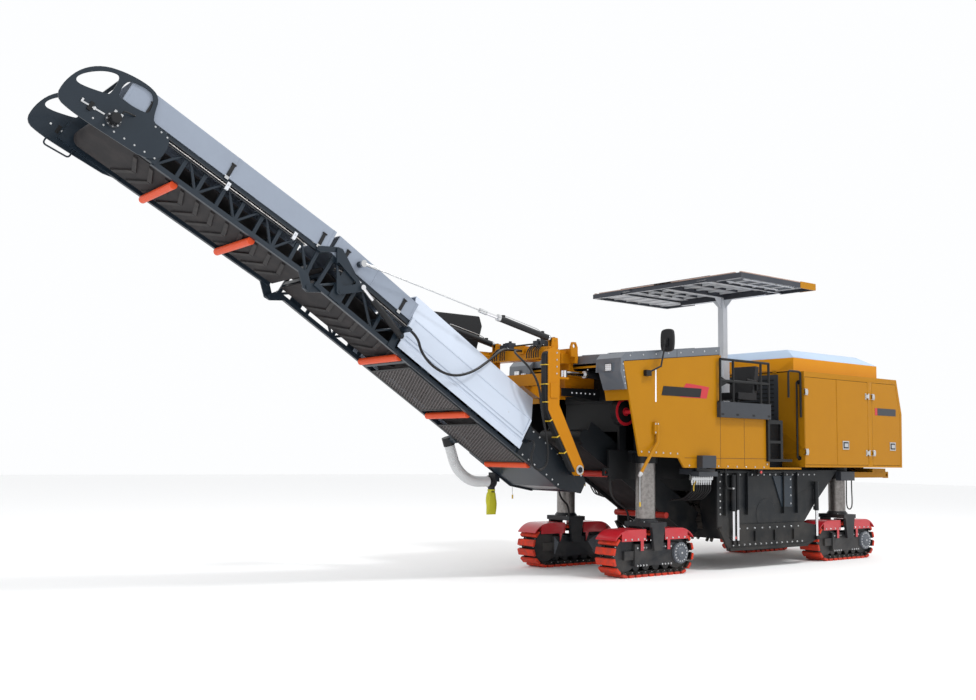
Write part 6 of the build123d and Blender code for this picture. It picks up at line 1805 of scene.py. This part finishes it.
    def cleats(self, name: str, section: Matrix, start: float, end: float, heights: Point, body: str) -> None:
        """Chevron cleats on the two runs of a belt.

        Args:
            name: start of the pieces' names.
            section: frame of the section.
            start: first cleat along it.
            end: last cleat along it.
            heights: faces of the carrying run and of the return run.
            body: body that they ride on.
        """
        pitch = 0.2
        step = section.to_3x3() @ Vector((pitch, 0, 0))
        for label, height, sign in (("top", heights[0], 1), ("return", heights[1], -1)):
            cleat = Maker(f"{name}_{label}")
            cleat.place = section.to_3x3().to_4x4()
            for side in (1, -1):
                ring = [(0.03 * sign, side * 0.004), (-0.115 * sign, side * 0.355), (-0.165 * sign, side * 0.355),
                        (-0.03 * sign, side * 0.004)]
                cleat.solid("belt_cleat", [[(x, y, -0.002 * sign) for x, y in ring],
                                           [(x * 0.94 - 0.001 * sign, y * 0.985, 0.018 * sign) for x, y in ring]])
            place = Matrix.Translation(section @ Vector((start, 0.0, height)))
            repeated(trees.row, cleat, "belt_cleat", {"Count": int((end - start) / pitch), "Step": tuple(step)},
                     place, body)

    def cover_ribs(self) -> None:
        """Folds along the white cover and seams of the upper one."""
        ribs = Maker("cover_ribs", LOWER)
        start, end = 0.962, 3.258
        folds = ((0.205, 0.235, 0.528, 0.538), (0.255, 0.262, 0.527, 0.533), (0.5, 0.512, 0.512, 0.519))
        for side in (1, -1):
            for low, high, near, far in folds:
                ribs.box("cover_white", (start, end), (side * near, side * far), (low, high))
            for ends in ((end - 0.045, end), (start, start + 0.03)):
                ribs.box("cover_white", ends, (side * self.truss_side, side * 0.5345), (0.17, 0.5))
        ribs.done("lower_conveyor", 0.002)
        lower = self.arch(0.456, (0.698, 0.7135, 0.694, 0.709), (0.472, 0.47))
        upper = self.arch(0.402, (0.681, 0.6995, 0.679, 0.6955), (0.471, 0.469))
        for name, section, body, last, start, band in (
                ("cover_seams", LOWER, "lower_conveyor", 4.6, 3.264, lower),
                ("upper_cover_seams", UPPER, "upper_conveyor", 2.78, -0.008, upper)):
            seams = Maker(name, section)
            for s in (start + 0.004, (start + last) / 2, last - 0.034):
                seams.cross("cover_sheet", band, s, s + 0.03)
            seams.done(body, 0.001)

    def arch(self, low: float, heights: Sequence[float], shoulders: Point) -> list[Point]:
        """Outline of a seam over a cover.

        Args:
            low: height of its two feet.
            heights: outer shoulder, outer top, inner shoulder and inner top.
            shoulders: outer and inner half width of its top.

        Returns:
            The points, across and up.
        """
        outer = [(self.cover_side + 0.004, low), (self.cover_side + 0.004, heights[0]), (shoulders[0], heights[1])]
        inner = [(self.cover_side, low), (self.cover_side, heights[2]), (shoulders[1], heights[3])]
        return (outer + [(-y, z) for y, z in outer[::-1]] + [(-y, z) for y, z in inner] + inner[::-1])

    def latches(self) -> None:
        """Black rubber latches on the covers."""
        for name, section, body, places, height in (
                ("lower_latches", LOWER, "lower_conveyor", (3.46, 4.42), 0.47),
                ("upper_latches", UPPER, "upper_conveyor", (0.12, 1.44, 2.5), 0.42)):
            latch = Maker(name, section)
            for s in places:
                for side in (1, -1):
                    latch.box("plastic_black", (s - 0.02, s + 0.02), (side * self.cover_side, side * 0.52),
                              (height, height + 0.16))
                    latch.box("bright_steel", (s - 0.026, s + 0.026), (side * self.cover_side, side * 0.514),
                              (height - 0.045, height - 0.005))
                    latch.rod("plastic_black", (s - 0.03, side * 0.517, height + 0.15),
                              (s + 0.03, side * 0.517, height + 0.15), 0.01, sides=10)
            latch.done(body, 0.002)

    def pipes(self) -> None:
        """Hydraulic pipes clamped along both sections."""
        for name, section, body, start, end, height, clamps in (
                ("lower_pipes", LOWER, "lower_conveyor", 1.05, 4.4, 0.395, (1.35, 2.25, 3.15, 4.1)),
                ("upper_pipes", UPPER, "upper_conveyor", 0.2, 2.62, 0.345, (0.43, 1.38))):
            pipes = Maker(name, section)
            for k in range(3):
                first, z = start + 0.05 * k, height - 0.028 * k
                pipes.pipe(
                    "leg_steel" if k == 1 else "yoke_graphite",
                    [(first, 0.47, z), (first + 0.08, 0.501, z), (end - 0.05 * k, 0.501, z),
                    (end + 0.05, 0.482, z - 0.03)], 0.008, sides=8)
            for s in clamps:
                pipes.box("mast_pale", (s - 0.022, s + 0.022), (0.49, 0.516), (height - 0.075, height + 0.019))
                pipes.rod("bright_steel", (s, 0.516, height - 0.014), (s, 0.522, height - 0.014), 0.008, sides=6)
            pipes.done(body, 0.001)

    def head_motor(self) -> None:
        """Motor and bearings of the head drum."""
        s, h = self.head
        motor = Maker("head_motor", UPPER)
        for side in (1, -1):
            y = side * (self.half + 0.036)
            motor.rod("box_dark", (s, y - side * 0.02, h), (s, y + side * 0.012, h), 0.085, sides=32)
            motor.rod("bright_steel", (s, y + side * 0.012, h), (s, y + side * 0.022, h), 0.034, sides=6)
            motor.rod("bright_steel", (s + 0.1, y, h - 0.005), (s + 0.36, y, h - 0.035), 0.011, sides=12)
            for reach in (0.2, 0.34):
                motor.rod("bright_steel", (s + reach, y, h - 0.018), (s + reach + 0.022, y, h - 0.02), 0.022, sides=6)
            motor.box("mesh_black", (s + 0.235, s + 0.275), (y - 0.018, y + 0.018), (h - 0.075, h + 0.025))
        motor.rod("plastic_black", (s, self.half + 0.046, h), (s, self.half + 0.15, h), 0.062, 0.055, sides=28)
        for near, far in ((-0.05, -0.02), (0.02, 0.05)):
            motor.box("bright_steel", (s + near, s + far), (self.half + 0.08, self.half + 0.11), (h + 0.05, h + 0.08))
        motor.pipe("hose_black", [(s - 0.035, self.half + 0.095, h + 0.078), (s - 0.035, self.half + 0.095, h + 0.13),
                                  (s - 0.16, self.half + 0.045, h + 0.18)], 0.009, sides=8)
        motor.done("upper_conveyor", 0.002)
        bolts = Bolts("head_bolts", 0.008, 0.007)
        for side in (1, -1):
            y = side * (self.half + 0.048)
            for k in range(8):
                angle = tau * (k + 0.5) / 8
                bolts.add((s + 0.068 * cos(angle), y, h + 0.068 * sin(angle)), (0, side, 0), UPPER)
            bolts.line((2.2, side * self.hoop_face, 0.06), (2.92, side * self.hoop_face, 0.02), 7, (0, side, 0),
                       UPPER)
            bolts.line((2.2, side * self.hoop_face, 0.34), (2.36, side * self.hoop_face, 0.36), 3, (0, side, 0),
                       UPPER)
        bolts.done("upper_conveyor")

    def foot_details(self) -> None:
        """Edge rail, bolts and warning stripes of the foot."""
        bolts = Bolts("foot_bolts", 0.009, 0.008)
        for side in (1, -1):
            y = side * self.truss_side
            bolts.line((-0.2, y, 0.36), (0.85, y, 0.395), 9, (0, side, 0), LOWER)
            bolts.line((0.1, y, 0.035), (0.85, y, 0.035), 7, (0, side, 0), LOWER)
        bolts.done("lower_conveyor")
        foot = Maker("foot_trim", LOWER)
        for side in (1, -1):
            foot.box("plastic_black", (0.02, 0.9), (side * self.truss_side, side * (self.truss_side + 0.006)),
                     (0.405, 0.43))
            for k in range(3):
                s = 0.3 + 0.09 * k
                foot.box("bag_lime", (s, s + 0.04), (side * 0.492, side * 0.4965), (0.1, 0.36))
        foot.done("lower_conveyor", 0.001)


@dataclass
class Linkage:
    """Folding cranks and cylinders, and the suspension struts."""

    strut_y: float = 0.606
    strut: tuple[float, float] = STRUT_PIN
    cable_pin: tuple[float, float] = (6.93, 3.89)

    def build(self) -> None:
        """Dress the linkage and add glands, clamps and pins."""
        dress("fold_cranks", plain("truss_slate"), 0.004)
        dress("fold_barrels", plain("plastic_black"), 0.002)
        dress("fold_rods", plain("chrome"), 0.001)
        dress("strut_barrels", plain("plastic_black"), 0.002)
        dress("strut_rods", self.rod_finish, 0.001)
        span = Vector((self.cable_pin[0] - self.strut[0], 0.0, self.cable_pin[1] - self.strut[1]))
        along = span.normalized()
        barrels = Maker("strut_glands")
        rods = Maker("strut_clamps")
        for side in (1, -1):
            base = Vector((self.strut[0], side * self.strut_y, self.strut[1]))
            for near, far, radius in ((0.965, 1.006, 0.046), (0.085, 0.112, 0.045)):
                barrels.rod("bright_steel", base + along * near, base + along * far, radius, sides=28)
            for reach in (0.2, 0.9):
                place = base + along * reach
                barrels.box("plastic_black", (place.x - 0.018, place.x + 0.018), (place.y - 0.018, place.y + 0.018),
                            (place.z + 0.034, place.z + 0.062))
            line = [
                base + along * reach + Vector((0, 0, rise)) for reach, rise in ((0.9, 0.058), (0.8, 0.064),
                (0.3, 0.064), (0.24, 0.05))]
            barrels.pipe("bright_steel", line, 0.006, sides=8)
            for reach in (1.21, 1.25, 1.29):
                place = base + along * reach
                rods.rod("bright_steel", place - Vector((0, 0.04, 0)), place + Vector((0, 0.04, 0)), 0.008, sides=6)
        barrels.done("struts", 0.001)
        rods.done("strut_rod_body", 0.0008)

    def rod_finish(self, middle: Vector, normal: Vector) -> str:
        """Chrome piston, steel clamp and cable."""
        return "chrome" if middle.x < self.strut[0] + 1.15 else "bright_steel"


# --- duct, bag, reel and hoses
@dataclass
class DustLine:
    """Suction hood, corrugated duct, dust bag and hose reel."""

    duct_radius: float = 0.075
    duct_route: tuple[tuple[float, float, float], ...] = (
        (4.683, -0.66, 1.773), (4.567, -0.66, 1.4535), (4.305, -0.66, 1.27), (3.985, -0.66, 1.27))
    neck_x: float = 3.925
    bag_top: float = 1.16
    bag_low: float = 0.8
    bag_y: float = -0.66
    lining: float = 0.955
    reel: tuple[float, float] = (2.78, 2.27)

    def build(self) -> None:
        """Dress the hood and reel and make the duct and bag."""
        dress("suction_hood", plain("plastic_black"), 0.012)
        dress("hose_reel", self.reel_finish, 0.003)
        self.duct()
        self.bag()
        x, z = self.reel
        winding = Maker("reel_winding")
        winding.rod("hose_black", (x, 0.8795, z), (x, 0.884, z), 0.152, sides=48)
        winding.rod("fender_crimson", (x, 0.883, z), (x, 0.89, z), 0.06, sides=32)
        winding.done("chassis", 0.001)
        trim = Maker("hood_trim")
        trim.box("box_dark", (4.3, 4.86), (-0.983, -0.979), (3.5, 3.6))
        trim.box("mesh_black", (4.22, 4.62), (-0.9, -0.78), (3.631, 3.64))
        trim.done("bracket", 0.002)

    def reel_finish(self, middle: Vector, normal: Vector) -> str:
        """Black hose wound between crimson flanges."""
        away = hypot(middle.x - self.reel[0], middle.z - self.reel[1])
        return "mesh_black" if away > 0.19 and abs(normal.y) < 0.5 else "fender_crimson"

    def duct(self) -> None:
        """Corrugated duct on a rounded line through its corners."""
        line = rounded(self.duct_route, inf, 12)
        steps = [(b - a).length for a, b in zip(line, line[1:])]
        total, pitch = sum(steps), 0.011
        rings = []
        for k in range(int(total / pitch) + 1):
            distance, index = min(k * pitch, total - 1e-6), 0
            while distance > steps[index]:
                distance -= steps[index]
                index += 1
            ahead = (line[index + 1] - line[index]).normalized()
            middle = line[index] + ahead * distance
            across = Vector((0, 1, 0))
            radius = self.duct_radius - (0.0075 if k % 2 else 0.0)
            rings.append([middle + offset for offset in circle(across, ahead.cross(across), radius, 32)])
        duct = Maker("dust_duct_finish")
        duct.solid("duct_white", rings)
        duct.done("lower_conveyor", 0.0, ("dust_duct",))

    def bag(self) -> None:
        """Cloth bag tied to its neck, flat at the bottom and creased where it hangs."""
        rings = []
        count, rows = 48, 26
        for row in range(rows):
            share = row / (rows - 1)
            z = self.bag_top - 0.001 - share * (self.bag_top - self.bag_low - 0.004)
            wide = 0.05 + 0.034 * min(1.0, share * 2.2) ** 0.7
            deep = 0.048 - 0.03 * max(0.0, share - 0.55) / 0.45
            pinch = 1.0 - 0.16 * exp(-((share - 0.1) / 0.05) ** 2)
            ring = []
            for k in range(count):
                angle = tau * k / count
                crease = 1.0 + 0.055 * sin(
                    angle * 7 + 3.0 * share) * (1.0 - share) + 0.03 * sin(angle * 3 + 9 * share)
                x = copysign(abs(cos(angle)) ** 0.8, cos(angle)) * wide * pinch * crease
                y = copysign(abs(sin(angle)) ** 0.8, sin(angle)) * deep * pinch * crease
                ring.append((self.neck_x + x + 0.004 * sin(6 * share), self.bag_y + y, z))
            rings.append(ring)
        bag = Maker("dust_bag_cloth")
        middle = Vector((self.neck_x, self.bag_y, 0.0))
        lining = [[middle + (Vector((x, y, 0.0)) - middle) * self.lining + Vector((0.0, 0.0, z)) for x, y, z in ring]
                  for ring in rings]
        for point in lining[-1]:
            point.z += 0.003
        bag.solid("bag_lime", rings + lining[::-1])
        cloth = bag.done("lower_conveyor", 0.0, ("dust_bag",))
        band = Maker("dust_bag_band")
        band.rod("plastic_black", (self.neck_x, self.bag_y, 1.118), (self.neck_x, self.bag_y, 1.13), 0.05, sides=32)
        tie = band.done("lower_conveyor", 0.001)


@dataclass(frozen=True)
class Hose:
    """A free hose on its route, with its length, in metres of the machine frame."""

    node: str
    body: str
    radius: float
    length: float
    lay: str
    route: tuple[tuple[float, float, float], ...]

    def build(self) -> None:
        """Make the hose as one smooth spline through its route's corners."""
        data = bpy.data.curves.new(self.node, "CURVE")
        data.dimensions = "3D"
        data.bevel_depth = self.radius
        data.bevel_resolution = 4
        data.resolution_u = 10
        data.use_fill_caps = True
        spline = data.splines.new("NURBS")
        spline.points.add(len(self.route) - 1)
        for point, (x, y, z) in zip(spline.points, self.route):
            point.co = (x - CENTRE_X, y, z, 1.0)
        spline.order_u = 3
        spline.use_endpoint_u = True
        data.materials.append(shop.material["hose_black"])
        piece = bpy.data.objects.new(self.node + "_line", data)
        bpy.context.scene.collection.objects.link(piece)
        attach(piece, self.body)
        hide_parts(self.node)
        x, y, z = self.route[0]
        log.info("%s, %.3f m", self.node, self.length)


def hoses() -> list[Hose]:
    """Free hoses with the points of their routes."""
    feed = ((6.2772, 0.66, 3.1365), (6.1666, 0.66, 3.0681), (6.11, 0.655, 2.88), (5.9, 0.645, 2.7),
            (5.6, 0.63, 2.615), (5.27, 0.605, 2.69), (4.96, 0.56, 2.87), (4.6, 0.33, 3.03), (4.28, 0.04, 3.095),
            (4.0403, 0.04, 3.095))
    bracket = (
        (4.0403, 0.11, 3.085), (4.19, 0.11, 3.085), (4.3, 0.33, 2.99), (4.29, 0.6, 2.8), (4.215, 0.695, 2.56),
        (4.185, 0.705, 2.25), (4.09, 0.712, 1.87), (4.072, 0.718, 1.64), (4.115, 0.72, 1.51), (4.235, 0.72, 1.445),
        (4.35, 0.72, 1.51), (4.385, 0.722, 1.64), (4.325, 0.725, 1.765), (4.285, 0.66, 1.84), (4.285, 0.5603, 1.84))
    track = ((2.74, 0.54, 1.3097), (2.74, 0.54, 1.15), (2.665, 0.565, 1.01), (2.45, 0.618, 0.9),
             (2.45, 0.618, 0.7423))
    rear = ((-2.41, 1.055, 1.2997), (-2.41, 1.055, 1.14), (-2.418, 1.056, 1.0), (-2.41, 1.057, 0.862),
            (-2.335, 1.057, 0.819), (-2.26, 1.057, 0.862), (-2.252, 1.056, 1.0), (-2.26, 1.055, 1.14),
            (-2.26, 1.055, 1.2997))
    far_track = tuple((x, -y, z) for x, y, z in track)
    return [Hose("feed_hose", "bracket", 0.017, 2.71, "hanging", feed),
            Hose("bracket_hose", "bracket", 0.015, 2.761, "hanging", bracket),
            Hose("left_track_hose", "front_left_unit", 0.015, 0.703, "hanging", track),
            Hose("right_track_hose", "front_right_unit", 0.015, 0.703, "hanging", far_track),
            Hose("rear_hose", "chassis", 0.01, 1.029, "hanging", rear)]


# --- everything
def main() -> None:
    """Build every piece and log how many triangles there are in all."""
    global shop, trees
    logging.basicConfig(level=logging.INFO, format="%(message)s")
    shop = Shop()
    trees = Trees()
    units = [CrawlerUnit(end, side) for end in (1, -1) for side in Side]
    sections = [Studio(), *units, Chassis(), MillingUnit(), FrontBody(), Canopy(), EngineModule(), Nose(), Conveyor(),
                Linkage(), DustLine(), *hoses()]
    for section in sections:
        section.build()
    log.info("%d triangles in all", shop.triangles)


if __name__ == "__main__":
    main()
